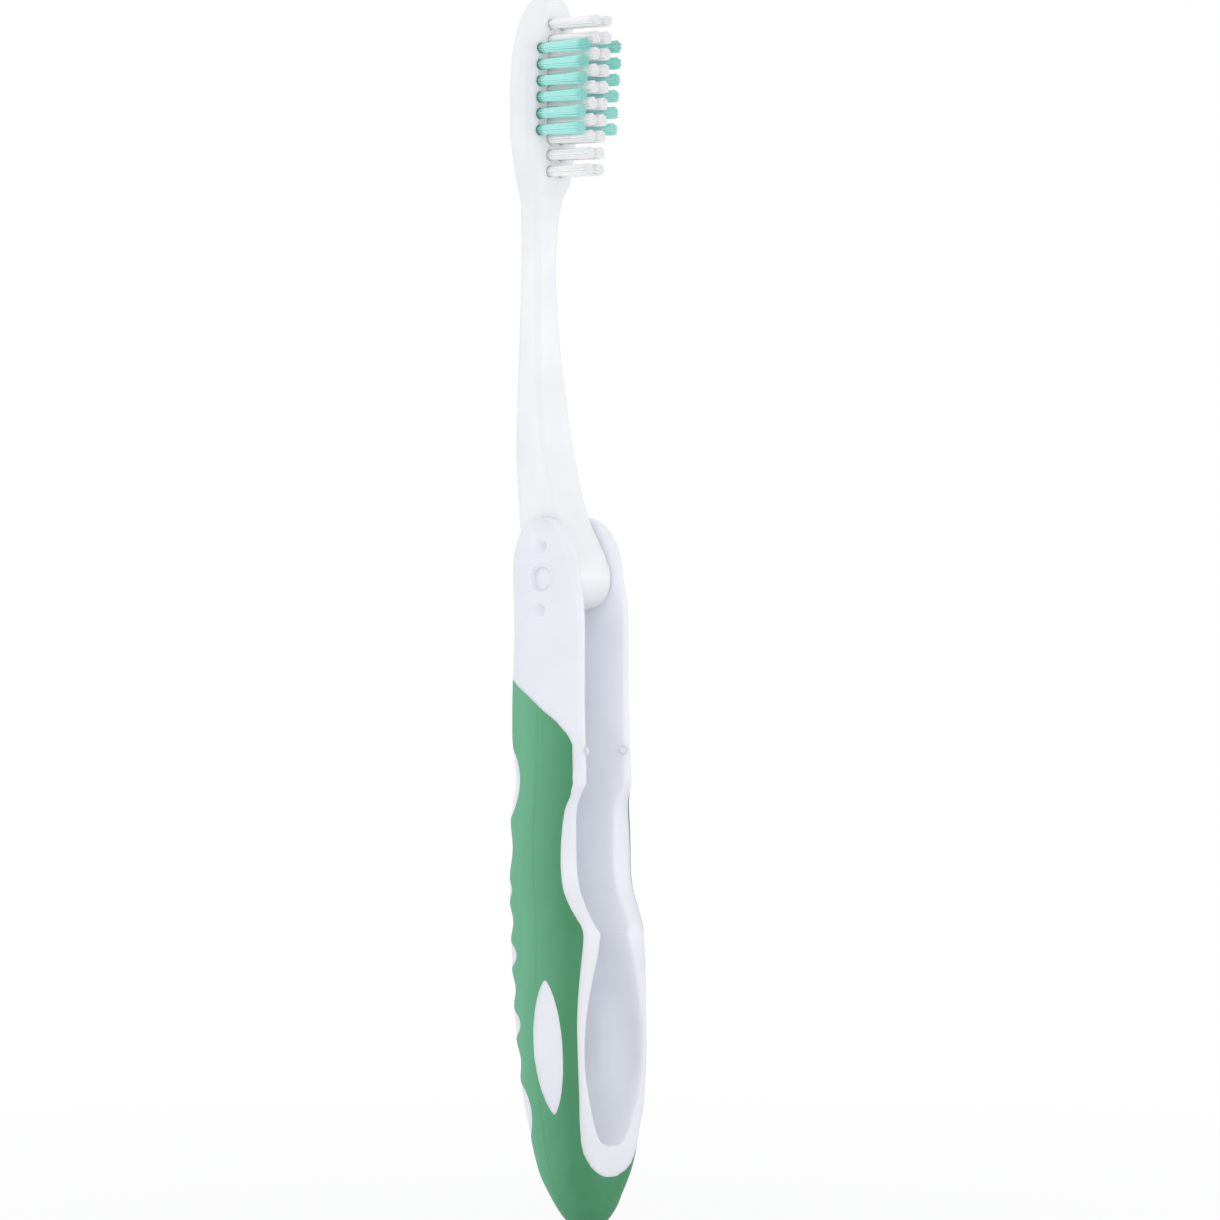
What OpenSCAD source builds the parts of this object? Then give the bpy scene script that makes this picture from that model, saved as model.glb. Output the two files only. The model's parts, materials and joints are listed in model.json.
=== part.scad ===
// Folding travel toothbrush, shown open: Z up along the handle, the bristles face -Y, the butt stands on Z = 0.
// The head and neck turn about a pin between the handle's ears and fold forward into a recess.

/* [Handle] */
// Height of the folded head's tip above the butt
tip_landing = 9.2; // [8.8:0.1:9.6]
// Half of the handle's greatest width
handle_half_w = 7.3; // [6.9:0.05:8.2]
// How far the handle reaches in front of the hinge axis
front_reach = 8.6; // [8:0.05:9.4]
// How far the handle and the head reach behind the hinge axis
back_reach = 8.9; // [8.4:0.05:9.8]
// Length of the rounded butt
butt_len = 9; // [7:0.5:11]
// Radius of the edge along the rims of the recess
rim_r = 0.9; // [0.5:0.05:1.2]
// Thickness of the white wall behind the recess, under the grip
back_wall = 1.6; // [1.2:0.1:2.2]

/* [Recess] */
// Width of the slot between the ears and of the neck's channel
slot_w = 7.4; // [7:0.05:7.8]
// Clearance of the folded head in the widest part of the pocket, on each side
pocket_side_clear = 0.8; // [0.6:0.05:0.95]
// Clearance of the folded bristles at the pocket's lower end
pocket_end_clear = 0.6; // [0.4:0.05:1]
// Height of the narrow waist between the channel and the pocket
waist_z = 42.2; // [41.5:0.1:43]
// Inner corner radius along the foot of the channel
recess_r = 1.1; // [0.7:0.1:1.6]
// Inner corner radius along the foot of the pocket, at the middle of its length
pocket_r = 3; // [2.4:0.1:3.6]
// Distance of the snap nubs below the ears' crown
nub_drop = 32.9; // [29:0.1:34]
// How far a snap nub stands out of its wall
nub_h = 0.3; // [0.15:0.05:0.4]

/* [Grip cover] */
// Thickness of the soft cover
grip_t = 1; // [0.7:0.05:1.3]
// Distance of the cover's upper edge below the ears' crown, at the back
grip_top_drop = 23; // [21:0.1:24]
// Distance of the cover's upper edge below the ears' crown, at the rims
grip_shoulder_drop = 33.6; // [32:0.1:35]
// Drop of the cover's front edge behind the rims' faces
grip_edge_drop = 0.45; // [0.35:0.05:0.8]
// Height of the cover's edge under the pocket
grip_lip_z = 7.9; // [7:0.1:8.6]
// Depth of the dip in each green band down the back
band_dip = 0.45; // [0.2:0.05:0.6]
// Half height of the oval window in each side
oval_half_h = 9.2; // [8:0.1:9.6]
// Half width of the oval window in each side
oval_half_w = 2.7; // [2.2:0.1:3]
// Height of the middle of the oval windows
oval_z = 26; // [25:0.1:27]
// Lean of the oval windows, in degrees
oval_lean = 5; // [0:1:8]

/* [Hinge] */
// Distance of the hinge axis below the crown of the ears
pivot_drop = 8.7; // [8.4:0.1:9.2]
// Height of the ears' domes
ear_rise = 8.4; // [7.8:0.1:8.6]
// Diameter of the hinge pin
pin_d = 3.4; // [2.6:0.1:3.8]
// Running clearance round the pin in the knuckle, on the radius
pin_clear = 0.05; // [0.02:0.01:0.09]
// How deep the ends of the pin lie in the ears' sides
pin_sink = 0.12; // [0.05:0.01:0.3]
// Radius of the knuckle
knuckle_r = 4.4; // [4:0.05:4.5]
// Clearance between the knuckle and each wall of the slot
side_clear = 0.3; // [0.2:0.05:0.45]
// Height of the stop web's top above the hinge axis
stop_rise = 3.5; // [3.2:0.1:4]
// Gap between the neck's heel and the stop web
stop_gap = 0.1; // [0.05:0.01:0.2]
// Diameter of the dimples above and below the pin
dimple_d = 1.3; // [0.8:0.1:1.6]
// Depth of the dimples
dimple_depth = 0.3; // [0.15:0.05:0.4]
// Distance of each dimple from the hinge axis
dimple_rise = 4.5; // [4:0.1:5]

/* [Neck and head] */
// Length of the neck and head above the hinge axis
neck_len = 82.9; // [80:0.1:83]
// Half of the neck's width at its thinnest
neck_half_w = 2; // [1.8:0.05:2.3]
// Half of the head's greatest width
head_half_w = 4.85; // [4.75:0.05:5]
// Length of the head, from the neck to its tip
head_len = 29.4; // [29:0.1:30]
// Length over which the head's tip is drawn in
tip_len = 15.8; // [14:0.1:17]
// Distance of the bristle face behind the hinge axis, at the head's heel
face_heel_y = 3.5; // [3.3:0.05:3.7]
// Distance of the bristle face behind the hinge axis, at the head's tip
face_tip_y = 3.05; // [2.95:0.05:3.4]
// Length of the ramp from the neck up to the bristle face
face_ramp = 2.9; // [2.5:0.1:3.2]
// Radius of the edge round the bristle face
face_r = 0.6; // [0.4:0.05:0.8]

/* [Bristles] */
// Spacing of the tufts along a row
tuft_pitch = 2.32; // [2.3:0.01:2.36]
// Distance of the inner rows from the middle
inner_row_x = 1.07; // [1.02:0.01:1.1]
// Distance of the outer rows from the middle
outer_row_x = 3.2; // [3.1:0.01:3.25]
// White tufts in an inner row
inner_count = 10; // [8:1:10]
// Mint green tufts in an outer row
outer_count = 6; // [4:1:6]
// Distance of the highest mint tuft below the head's tip
mint_tip_gap = 7.8; // [7.7:0.05:8]
// Diameter of a tuft's hole
hole_d = 1.64; // [1.56:0.01:1.7]
// Depth of a tuft's hole
hole_depth = 2.6; // [2.2:0.1:3]
// Clearance round a tuft's root, on the radius
root_clear = 0.02; // [0.01:0.01:0.04]
// Free length of the tufts at the heel
heel_bristle_len = 8.8; // [8.2:0.1:9.2]
// Free length of the tufts at the tip
tip_bristle_len = 10.2; // [9.6:0.1:10.4]
// Side of a strand at its root
strand_side = 0.29; // [0.2:0.01:0.3]
// Spacing of the strands at their roots
strand_pitch = 0.38; // [0.36:0.01:0.38]
// Spread of a tuft from its root to its tip
tuft_spread = 1.24; // [1.1:0.01:1.28]
// Width of an anchor strip
anchor_w = 1.9; // [1.8:0.05:1.95]
// Height of an anchor strip, along the hole
anchor_h = 1.2; // [1:0.1:1.5]
// Thickness of an anchor strip
anchor_t = 0.25; // [0.2:0.01:0.3]

/* [Hidden] */
// Overrun of the cuts past the faces that they open
over = 2;
// Rings along the lofts stand about this far apart
white_step = 2.4;
green_step = 1.6;
core_step = 4.6;
neck_step = 2.2;
// Rings in the rounded butt, ears and tip
cap_rings = 6;
// The smallest ring that closes a rounded end, as a share of the full ring
cap_end_share = 0.12;
// How fast the ears' width and the bristle face follow a rounded end
soft_cap_power = 0.2;

// The hinge axis, from the middle of the whole outline
pivot_y = (front_reach - back_reach) / 2;
slot_half = slot_w / 2;
knuckle_half = slot_half - side_clear;
// The handle is as long as the neck and head that it takes
pivot_z = neck_len + tip_landing;
handle_len = pivot_z + pivot_drop;
grip_top = handle_len - grip_top_drop;
grip_shoulder_z = handle_len - grip_shoulder_drop;
nub_z = handle_len - nub_drop;
// The ears are domed above their widest level
ear_z = handle_len - ear_rise;
tip_z = neck_len - tip_len;
heel_z = stop_rise + stop_gap;
// The bristle face lies past the head's heel
head_z = neck_len - head_len;
face_z = head_z + face_ramp;
// The recess takes the folded head and bristles
mint_first_rise = neck_len - mint_tip_gap - (outer_count - 1) * tuft_pitch;
tuft_reach = hole_d / 2 * tuft_spread;
pocket_half_w = head_half_w + pocket_side_clear;
pocket_low_z = pivot_z - white_rise(inner_count - 1) - tuft_reach - pocket_end_clear;

// Share of the handle's height at which the profiles below have its waist
waist_share = 0.4187;

// Profiles along the handle. Each row holds a height, as a share of the handle's, and a share of one size.
// Half width at the widest level, of handle_half_w
side_shares = [
    [0, 0.7], [0.05, 0.79], [0.09, 0.83], [0.14, 0.875], [0.18, 0.935], [0.25, 0.985],
    [0.32, 0.975], [0.38, 0.935], [0.42, 0.92], [0.45, 0.945], [0.48, 0.975], [0.533, 1], [0.59, 0.97],
    [0.64, 0.91], [0.7, 0.885], [0.8, 0.89], [0.9, 0.925], [1, 0.93]
];
// Half width at the rims, of the half width at the widest level
rim_shares = [
    [0, 1], [0.08, 0.97], [0.14, 0.94], [0.18, 0.94], [0.25, 0.955], [0.38, 0.93], [0.42, 0.915],
    [0.46, 0.99], [0.53, 1], [0.59, 0.97], [0.63, 0.83], [0.7, 0.815], [0.85, 0.785], [0.92, 0.775], [1, 0.8]
];
// Front, of front_reach
front_shares = [
    [0, 0.86], [0.05, 0.87], [0.08, 0.885], [0.12, 0.932], [0.15, 0.943], [0.18, 0.965], [0.23, 0.968],
    [0.27, 0.965], [0.32, 0.975], [0.358, 0.99], [0.385, 1], [0.411, 0.985], [0.4276, 0.95],
    [0.4405, 0.86], [0.459, 0.73], [0.48, 0.61], [0.506, 0.55], [0.532, 0.535], [0.5615, 0.535],
    [0.58, 0.54], [0.599, 0.575], [0.619, 0.7], [0.629, 0.772], [0.68, 0.764], [0.744, 0.745],
    [0.84, 0.745], [0.88, 0.72], [0.917, 0.63], [1, 0.6]
];
// Back, of back_reach
back_shares = [
    [0, 0.18], [0.05, 0.28], [0.08, 0.42], [0.12, 0.56], [0.18, 0.72], [0.25, 0.82], [0.32, 0.905],
    [0.38, 0.965], [0.43, 1], [0.53, 1], [0.58, 0.965], [0.61, 0.87], [0.635, 0.83], [0.68, 0.86],
    [0.76, 0.87], [0.88, 0.855], [1, 0.85]
];
// Level of the greatest width, of back_reach, behind the hinge axis
level_shares = [[0, -0.31], [0.05, -0.29], [0.12, -0.1], [0.25, 0], [0.42, 0.06], [0.85, 0.08], [0.92, 0.2], [1, 0.2]];
// Radius of the rims' edge, in rim_r
edge_shares = [[0, 5], [0.06, 4.6], [0.1, 3], [0.14, 1.7], [0.18, 1], [0.9, 1], [0.95, 1.5], [1, 1.6]];
// Squareness of the back: 2 is an ellipse, more is squarer
square_shares = [[0, 2], [0.14, 2.3], [0.25, 2.5], [0.42, 2.9], [0.53, 2.6], [0.63, 3.1], [0.7, 4.2], [0.85, 3.4], [1, 3.4]];
// Half width of the pocket, of pocket_half_w, from its lower end to the waist
pocket_shares = [
    [0, 0.12], [0.006, 0.24], [0.02, 0.38], [0.04, 0.47], [0.07, 0.56], [0.12, 0.665], [0.168, 0.755],
    [0.215, 0.83], [0.261, 0.89], [0.353, 0.975], [0.449, 1], [0.541, 0.985], [0.634, 0.93],
    [0.726, 0.835], [0.799, 0.74], [0.868, 0.645], [0.937, 0.545], [1, 0.46]
];
// Half width of the channel, of half the slot's width, from the waist to the ears
channel_shares = [[0, 0.70], [0.02, 0.86], [0.045, 0.93], [0.23, 0.973], [0.42, 1], [1, 1]];
// Upper edge of the grip cover: depth from the rims to the back, and height from the shoulder to the top
shoulder_shares = [[0, 0], [0.035, 0.1], [0.11, 0.27], [0.25, 0.46], [0.45, 0.63], [0.65, 0.81], [0.85, 0.96], [0.9, 1]];
// Windows down the back: lower end, upper end, as shares of the height, and depth, of back_reach
window_shares = [
    [0.121, 0.21, 0.5], [0.268, 0.3115, 0.46], [0.366, 0.405, 0.42], [0.461, 0.494, 0.34], [0.578, 0.678, 0.37]
];
// Middle of the oval windows, in front of the hinge axis, of front_reach
oval_y_share = -0.27;
// Roundness of the oval windows' ends: 1 is round, more is more pointed
oval_point_share = 1.58;

// Profiles along the neck, from the hinge axis to the head's heel
// Half width, of neck_half_w
neck_half_shares = [
    [0, 1.7], [0.093, 1.67], [0.2, 1.65], [0.335, 1.65], [0.465, 1.5],
    [0.6, 1.28], [0.736, 1.1], [0.837, 1.04], [0.93, 1.18], [1, 1.4]
];
// Front, of back_reach, behind the hinge axis
neck_front_shares = [
    [0, -0.5], [0.057, -0.42], [0.107, -0.24], [0.143, -0.107], [0.17, -0.028], [0.236, 0.115], [0.342, 0.294],
    [0.42, 0.376], [0.527, 0.466], [0.632, 0.522], [0.735, 0.553], [0.845, 0.558], [0.936, 0.543], [1, 0.495]
];
// Back, of back_reach
neck_back_shares = [
    [0, 0.87], [0.067, 0.88], [0.2, 0.955], [0.28, 0.98], [0.335, 1],
    [0.65, 1], [0.837, 0.99], [0.93, 0.96], [1, 0.93]
];
// Level of the greatest width, of back_reach
neck_level_shares = [[0, 0.3], [0.2, 0.5], [0.465, 0.7], [0.837, 0.78], [1, 0.72]];
// Width of the rounded section's front, of its greatest width
neck_rim_share = 0.96;

// Profiles along the head, from its heel to its tip
// Half width, of head_half_w, from the neck's
head_half_shares = [
    [0, neck_half_w * neck_half_shares[9][1] / head_half_w], [0.124, 0.8], [0.211, 0.91], [0.324, 0.98], [0.465, 1], [1, 1]
];
// Back, of back_reach
head_back_shares = [[0, 0.93], [0.155, 0.96], [0.352, 1], [0.662, 1], [0.859, 0.985], [1, 0.98]];
// Level of the greatest width, of back_reach
head_level_shares = [[0, 0.72], [0.155, 0.56], [1, 0.56]];
// Squareness of the back of the neck and head
neck_square = 5.5;

// Angles of a section's back corner and of its front edge
back_angles = [for (k = [0 : 5]) 84 * k / 5];
edge_angles = [for (k = [0 : 3]) 90 * k / 3];
// Angles round an inner corner along the foot of the recess
foot_angles = [for (k = [0 : 4]) 90 * k / 4];

// Places of the tufts above the hinge axis: the white rows are staggered by half a pitch
function white_rise(i) = mint_first_rise + (i - 3 + 0.5) * tuft_pitch;
function mint_rise(i) = mint_first_rise + i * tuft_pitch;
function face_y(rise) = face_heel_y + (face_tip_y - face_heel_y) * (rise - face_z) / (neck_len - face_z);
function bristle_len(rise) =
    heel_bristle_len + (tip_bristle_len - heel_bristle_len) * (rise - face_z) / (neck_len - face_z);
// The outer rows follow the head's edge where its tip is drawn in
function mint_x(rise) = min(outer_row_x, neck_half_at(rise) - hole_d / 2 - face_r / 2);

// A tuft is its name, its side, its distance from the middle, its height above the hinge axis and its colour
TUFTS = [
    for (side = [["left", -1], ["right", 1]]) each [
        for (i = [0 : inner_count - 1])
            [str("white_tuft_", side[0], "_", i + 1), side[1], inner_row_x, white_rise(i), "white"],
        for (i = [0 : outer_count - 1])
            [str("mint_tuft_", side[0], "_", i + 1), side[1], mint_x(mint_rise(i)), mint_rise(i), "#abeee7"]
    ]
];

// A smooth curve through the rows of a table, read at s
function row_of(table, s, i = 0) = i >= len(table) - 2 || s < table[i + 1][0] ? i : row_of(table, s, i + 1);
function slope(table, i) =
    let (a = max(i - 1, 0), b = min(i + 1, len(table) - 1))
    (table[b][1] - table[a][1]) / (table[b][0] - table[a][0]);
function curve(table, s) =
    let (
        i = row_of(table, s),
        p = table[i],
        q = table[i + 1],
        d = q[0] - p[0],
        t = max(0, min(1, (s - p[0]) / d)),
        t2 = t * t,
        t3 = t2 * t
    )
    (2 * t3 - 3 * t2 + 1) * p[1] + (t3 - 2 * t2 + t) * d * slope(table, i)
    + (3 * t2 - 2 * t3) * q[1] + (t3 - t2) * d * slope(table, i + 1);

// Share of the full ring left at a distance past the start of a rounded end
function cap(past, length) =
    past <= 0 ? 1 : max(cap_end_share, sqrt(max(0, 1 - pow(past / length, 2))));

// The profiles' shares and the heights that they stand for: the waist lies at waist_z
function share_at(z) =
    z < waist_z
    ? waist_share * z / waist_z
    : waist_share + (1 - waist_share) * (z - waist_z) / (handle_len - waist_z);
function height_at(s) =
    s < waist_share
    ? waist_z * s / waist_share
    : waist_z + (handle_len - waist_z) * (s - waist_share) / (1 - waist_share);

// Handle: the full outline at a height, before its ends are rounded
function handle_half(s) = handle_half_w * curve(side_shares, s);
function handle_level(s) = back_reach * curve(level_shares, s);
function butt_cap(z) = cap(butt_len - z, butt_len);
function ear_cap(z) = cap(z - ear_z, ear_rise);
function end_cap(z) = butt_cap(z) * ear_cap(z);
function front_at(z) =
    let (s = share_at(z), level = handle_level(s))
    level - (level + front_reach * curve(front_shares, s)) * end_cap(z);
function back_at(z) =
    let (s = share_at(z), level = handle_level(s))
    level + (back_reach * curve(back_shares, s) - level) * end_cap(z);
function half_at(z) = handle_half(share_at(z)) * butt_cap(z) * pow(ear_cap(z), soft_cap_power);

// Dip between the lips of the green bands, which lie between the windows
function dip_at(z) = band_dip * max([
    for (i = [0 : len(window_shares) - 2])
        let (
            low = height_at(window_shares[i][1]),
            high = height_at(window_shares[i + 1][0]),
            t = (z - low) / (high - low)
        )
        t > 0 && t < 1 ? pow(sin(180 * t), 2) : 0
]);

// One section, from the middle of the front round to the middle of the back and on round:
// half is the half width, rim its value at the front, edge the radius of the front corners
function half_section(half, rim, front, back, level, edge, square) =
    let (
        r = min(edge, rim * 0.96, (level - front) * 0.96),
        side = level - front - r
    )
    concat(
        [for (a = edge_angles) [rim - r + r * sin(a), front + r - r * cos(a)]],
        [for (t = [1 / 2]) [rim + (half - rim) * sin(90 * t), front + r + side * t]],
        [for (a = back_angles) [half * pow(cos(a), 2 / square), level + (back - level) * pow(sin(a), 2 / square)]]
    );
function full_section(points) = concat(points, [for (i = [len(points) - 1 : -1 : 0]) [-points[i][0], points[i][1]]]);
function ring(points, z) = [for (p = full_section(points)) [p[0], p[1], z]];

// Solid through rings of as many points each, from the lowest up
module loft(rings) {
    n = len(rings[0]);
    last = len(rings) - 1;
    polyhedron(
        points = [for (r = rings) each r],
        faces = [
            for (i = [0 : last - 1], j = [0 : n - 1])
                each [
                    [i * n + j, (i + 1) * n + j, i * n + (j + 1) % n],
                    [i * n + (j + 1) % n, (i + 1) * n + j, (i + 1) * n + (j + 1) % n]
                ],
            [for (j = [0 : n - 1]) j],
            [for (j = [n - 1 : -1 : 0]) last * n + j]
        ]
    );
}

// Heights of the rings: close together in the rounded ends, and about a step apart between them
function cap_turn(k) = 90 * k / cap_rings;
function steps(low, high, step) =
    let (n = ceil((high - low) / step))
    [for (k = [0 : n]) low + (high - low) * k / n];
function butt_heights() = [for (k = [0 : cap_rings - 1]) butt_len * (1 - cos(cap_turn(k)))];
function ear_heights() = [for (k = [1 : cap_rings]) ear_z + ear_rise * sin(cap_turn(k))];
function handle_heights(step) = concat(butt_heights(), steps(butt_len, ear_z, step), ear_heights());

// The core lies under the cover at the butt, and comes up between the cover's front edges above it
function core_drop(z) =
    let (t = max(0, min(1, (z - grip_lip_z) / (pocket_low_z - grip_lip_z))))
    grip_t * butt_cap(z) * (1 - t) + grip_edge_drop / 2 * t;

// Ring of the handle at a height, drawn in by an inset, with dip taken off its back
function handle_ring(z, inset, dip) =
    let (
        s = share_at(z),
        level = handle_level(s),
        half = half_at(z) - inset * butt_cap(z),
        rim = min(half, half_at(z) * curve(rim_shares, s) - inset * butt_cap(z)),
        front = front_at(z) + (inset > 0 ? core_drop(z) : 0),
        back = back_at(z) - inset * butt_cap(z) - dip,
        edge = rim_r * curve(edge_shares, s) - inset / 2,
        lift = inset * (1 - z / handle_len)
    )
    ring(
        half_section(half, rim, front, back, level, edge, curve(square_shares, s)),
        z + lift
    );

module handle_form() {
    loft([for (z = handle_heights(white_step)) handle_ring(z, 0, 0)]);
}

module cover_form() {
    heights = concat(butt_heights(), steps(butt_len, grip_top + over, green_step));
    loft([for (z = heights) handle_ring(z, 0, dip_at(z))]);
}

module core_form() {
    loft([for (z = concat(butt_heights(), steps(butt_len, ear_z, core_step))) handle_ring(z, grip_t, 0)]);
}

// Shape drawn in the side view, y then z, and drawn out through the whole width
module side_view() {
    rotate([90, 0, 90])
        linear_extrude(height = 2 * (handle_half_w + over), center = true) children();
}

// Where the soft cover lies, in the side view
module cover_outline() {
    rows = steps(grip_lip_z + butt_len / 2, grip_shoulder_z, core_step);
    back_y = back_at(grip_top);
    rim_y = front_at(grip_shoulder_z) + grip_edge_drop;
    polygon(concat(
        [[-front_reach - over, -over], [-front_reach - over, grip_lip_z], [front_at(grip_lip_z), grip_lip_z]],
        [for (z = rows) [front_at(z) + grip_edge_drop, z]],
        [for (p = shoulder_shares)
            [rim_y + (back_y - rim_y) * p[0], grip_shoulder_z + (grip_top - grip_shoulder_z) * p[1]]],
        [[back_reach + over, grip_top], [back_reach + over, -over]]
    ));
}

module oval_window() {
    translate([front_reach * oval_y_share, oval_z])
        rotate(-oval_lean)
            polygon([for (a = [0 : 18 : 342])
                [oval_half_w * sign(cos(a)) * pow(abs(cos(a)), oval_point_share), oval_half_h * sin(a)]]);
}

module back_window(w) {
    low = height_at(w[0]);
    high = height_at(w[1]);
    depth = w[2] * back_reach;
    middle = (low + high) / 2;
    translate([back_at(middle), middle])
        scale([depth, (high - low) / 2])
            circle(r = 1, $fn = 20);
}

module cover_zone() {
    side_view()
        difference() {
            cover_outline();
            oval_window();
            for (w = window_shares)
                back_window(w);
        }
}

// The recess: pocket, waist, channel and slot as one loft, open to the front
function recess_half(z) =
    z < waist_z
    ? pocket_half_w * curve(pocket_shares, (z - pocket_low_z) / (waist_z - pocket_low_z))
    : slot_half * curve(channel_shares, (z - waist_z) / (pivot_z - waist_z));
function floor_at(z) = back_at(min(z, ear_z)) - grip_t - back_wall;
// The corners along its foot: rounder towards the middle of the pocket
function foot_r(z) =
    let (t = min(1, (z - pocket_low_z) / (waist_z - pocket_low_z)))
    recess_r + (pocket_r - recess_r) * sin(180 * t);
// They stay clear of the knuckle
function recess_ring(z) =
    let (
        a = recess_half(z),
        deep = floor_at(z),
        r = min(foot_r(z), a / 2, z > ear_z - ear_rise - knuckle_r ? 2 * (deep - knuckle_r) : pocket_r),
        corner = [for (t = foot_angles) [a - r + r * cos(t), deep - r + r * sin(t), z]]
    )
    concat(
        [[-a, -front_reach - over, z], [a, -front_reach - over, z]],
        corner,
        [for (i = [len(corner) - 1 : -1 : 0]) [-corner[i][0], corner[i][1], z]]
    );
function recess_heights() = concat(
    [for (p = pocket_shares) pocket_low_z + (waist_z - pocket_low_z) * p[0]],
    [for (p = channel_shares) if (p[0] > 0 && p[0] < 1) waist_z + (pivot_z - waist_z) * p[0]],
    steps(pivot_z - (pivot_z - waist_z) / 3, pivot_z, core_step),
    [handle_len + over]
);

module recess() {
    loft([for (z = recess_heights()) recess_ring(z)]);
    // above the stop web the slot is open to the back
    translate([-slot_half, 0, pivot_z + stop_rise])
        cube([slot_w, back_reach + over, handle_len]);
}

module snap_nubs() {
    for (side = [-1, 1])
        translate([side * slot_half, front_at(nub_z) + rim_r, nub_z])
            scale([nub_h, nub_h * 2, nub_h * 3])
                sphere(r = 1, $fn = 16);
}

// White handle moulding: the rims, ears and windows stand out flush with the soft cover
module handle_body() {
    color("#ecf0f8")
        translate([0, pivot_y, 0])
            difference() {
                resize([0, 0, handle_len - grip_t])
                    union() {
                        difference() {
                            union() {
                                difference() {
                                    handle_form();
                                    cover_zone();
                                }
                                core_form();
                            }
                            recess();
                        }
                        snap_nubs();
                    }
                hinge_bore(pin_d);
                for (side = [-1, 1], rise = [-dimple_rise, dimple_rise])
                    translate([side * ear_side(rise), 0, pivot_z + rise])
                        rotate([0, 90, 0])
                            cylinder(d = dimple_d, h = 2 * dimple_depth, center = true, $fn = 32);
            }
}

// Half width of the ears where the side is flat, at a height above the hinge axis
function ear_side(rise) = half_at(pivot_z + rise);

module hinge_bore(d) {
    translate([0, 0, pivot_z])
        rotate([0, 90, 0])
            cylinder(d = d, h = 2 * (handle_half_w + over), center = true, $fn = 48);
}

// Soft green cover, moulded over the back, sides and butt
module grip_cover() {
    color("#57a377")
        translate([0, pivot_y, 0])
            resize([0, 0, grip_top])
                difference() {
                    intersection() {
                        cover_form();
                        cover_zone();
                    }
                    core_form();
                    recess();
                }
}

// Neck and head, in one moulding: a value of the neck below the head's heel, and of the head above it
function along(neck_table, head_table, rise) =
    rise < head_z ? curve(neck_table, rise / head_z) : curve(head_table, (rise - head_z) / head_len);
function neck_half_at(rise) =
    rise < head_z
    ? neck_half_w * curve(neck_half_shares, rise / head_z)
    : head_half_w * curve(head_half_shares, (rise - head_z) / head_len) * cap(rise - tip_z, tip_len);
function neck_front_at(rise) =
    rise < head_z ? back_reach * curve(neck_front_shares, rise / head_z) : face_y(max(rise, face_z));
function neck_ring(rise) =
    let (
        tip = cap(rise - tip_z, tip_len),
        half = neck_half_at(rise),
        level = back_reach * along(neck_level_shares, head_level_shares, rise),
        front = level - (level - neck_front_at(rise)) * pow(tip, soft_cap_power),
        back = level + (back_reach * along(neck_back_shares, head_back_shares, rise) - level) * tip
    )
    ring(half_section(half, half * neck_rim_share, front, back, level, face_r, neck_square), pivot_z + rise);
function neck_heights() = concat(
    steps(heel_z, head_z, neck_step),
    steps(face_z, tip_z, neck_step),
    [for (k = [1 : cap_rings]) tip_z + tip_len * sin(cap_turn(k))]
);

module at_tuft(t) {
    translate([t[1] * t[2], pivot_y + face_y(t[3]), pivot_z + t[3]])
        rotate([90, 0, 0])
            children();
}

// In at_tuft the hole runs down from zero, and the bristles stand up from zero
module anchor_strip(height) {
    translate([-anchor_w / 2, -anchor_t / 2, -hole_depth])
        cube([anchor_w, anchor_t, height]);
}

module neck_head() {
    color("#eef1f8")
        difference() {
            union() {
                translate([0, pivot_y, 0])
                    loft([for (rise = neck_heights()) neck_ring(rise)]);
                translate([0, pivot_y, pivot_z])
                    rotate([0, 90, 0])
                        cylinder(r = knuckle_r, h = 2 * knuckle_half, center = true, $fn = 64);
            }
            translate([0, pivot_y, 0])
                hinge_bore(pin_d + 2 * pin_clear);
            for (t = TUFTS)
                at_tuft(t)
                    translate([0, 0, -hole_depth])
                        cylinder(d = hole_d, h = hole_depth + over, $fn = 32);
            for (t = TUFTS)
                at_tuft(t)
                    anchor_strip(anchor_h);
        }
}

// Plain pin, pressed in the ears
module hinge_pin() {
    color("#dfe3ea")
        translate([0, pivot_y, pivot_z])
            rotate([0, 90, 0])
                cylinder(d = pin_d, h = 2 * (ear_side(0) - pin_sink), center = true, $fn = 48);
}

// Metal strips across the foot of each hole, one for each tuft
module tuft_anchors() {
    color("#c9b37a")
        for (t = TUFTS)
            at_tuft(t)
                anchor_strip(anchor_h);
}

// Strands stand on a square grid without its corners
STRANDS = [for (i = [-1.5 : 1.5], j = [-1.5 : 1.5]) if (abs(i) + abs(j) < 3) [i, j] * strand_pitch];
// Corners of a strand, in half its side
SQUARE = [[-1, -1], [1, -1], [1, 1], [-1, 1]];

// Four-sided strand that widens and leans out with the tuft, cut off square
module strand(place, root, length) {
    half = strand_side / 2;
    foot = [for (c = SQUARE) [place[0] + c[0] * half, place[1] + c[1] * half, -root]];
    tip = [for (c = SQUARE)
        [(place[0] + c[0] * half) * tuft_spread, (place[1] + c[1] * half) * tuft_spread, length]];
    loft([foot, tip]);
}

// A tuft: the folded root in its hole, straddling its anchor, with the free strands on it
module tuft(t) {
    color(t[4])
        at_tuft(t)
            union() {
                difference() {
                    translate([0, 0, -hole_depth])
                        cylinder(d = hole_d - 2 * root_clear, h = hole_depth - 2 * root_clear, $fn = 32);
                    anchor_strip(anchor_h);
                }
                for (place = STRANDS)
                    strand(place, 4 * root_clear, bristle_len(t[3]));
            }
}

handle_body();
grip_cover();
neck_head();
hinge_pin();
tuft_anchors();
for (t = TUFTS) tuft(t);
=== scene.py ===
"""Dresses the folding travel toothbrush: moulded handle, soft grip, neck and head, hinge pin, bristles and stage."""

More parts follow.
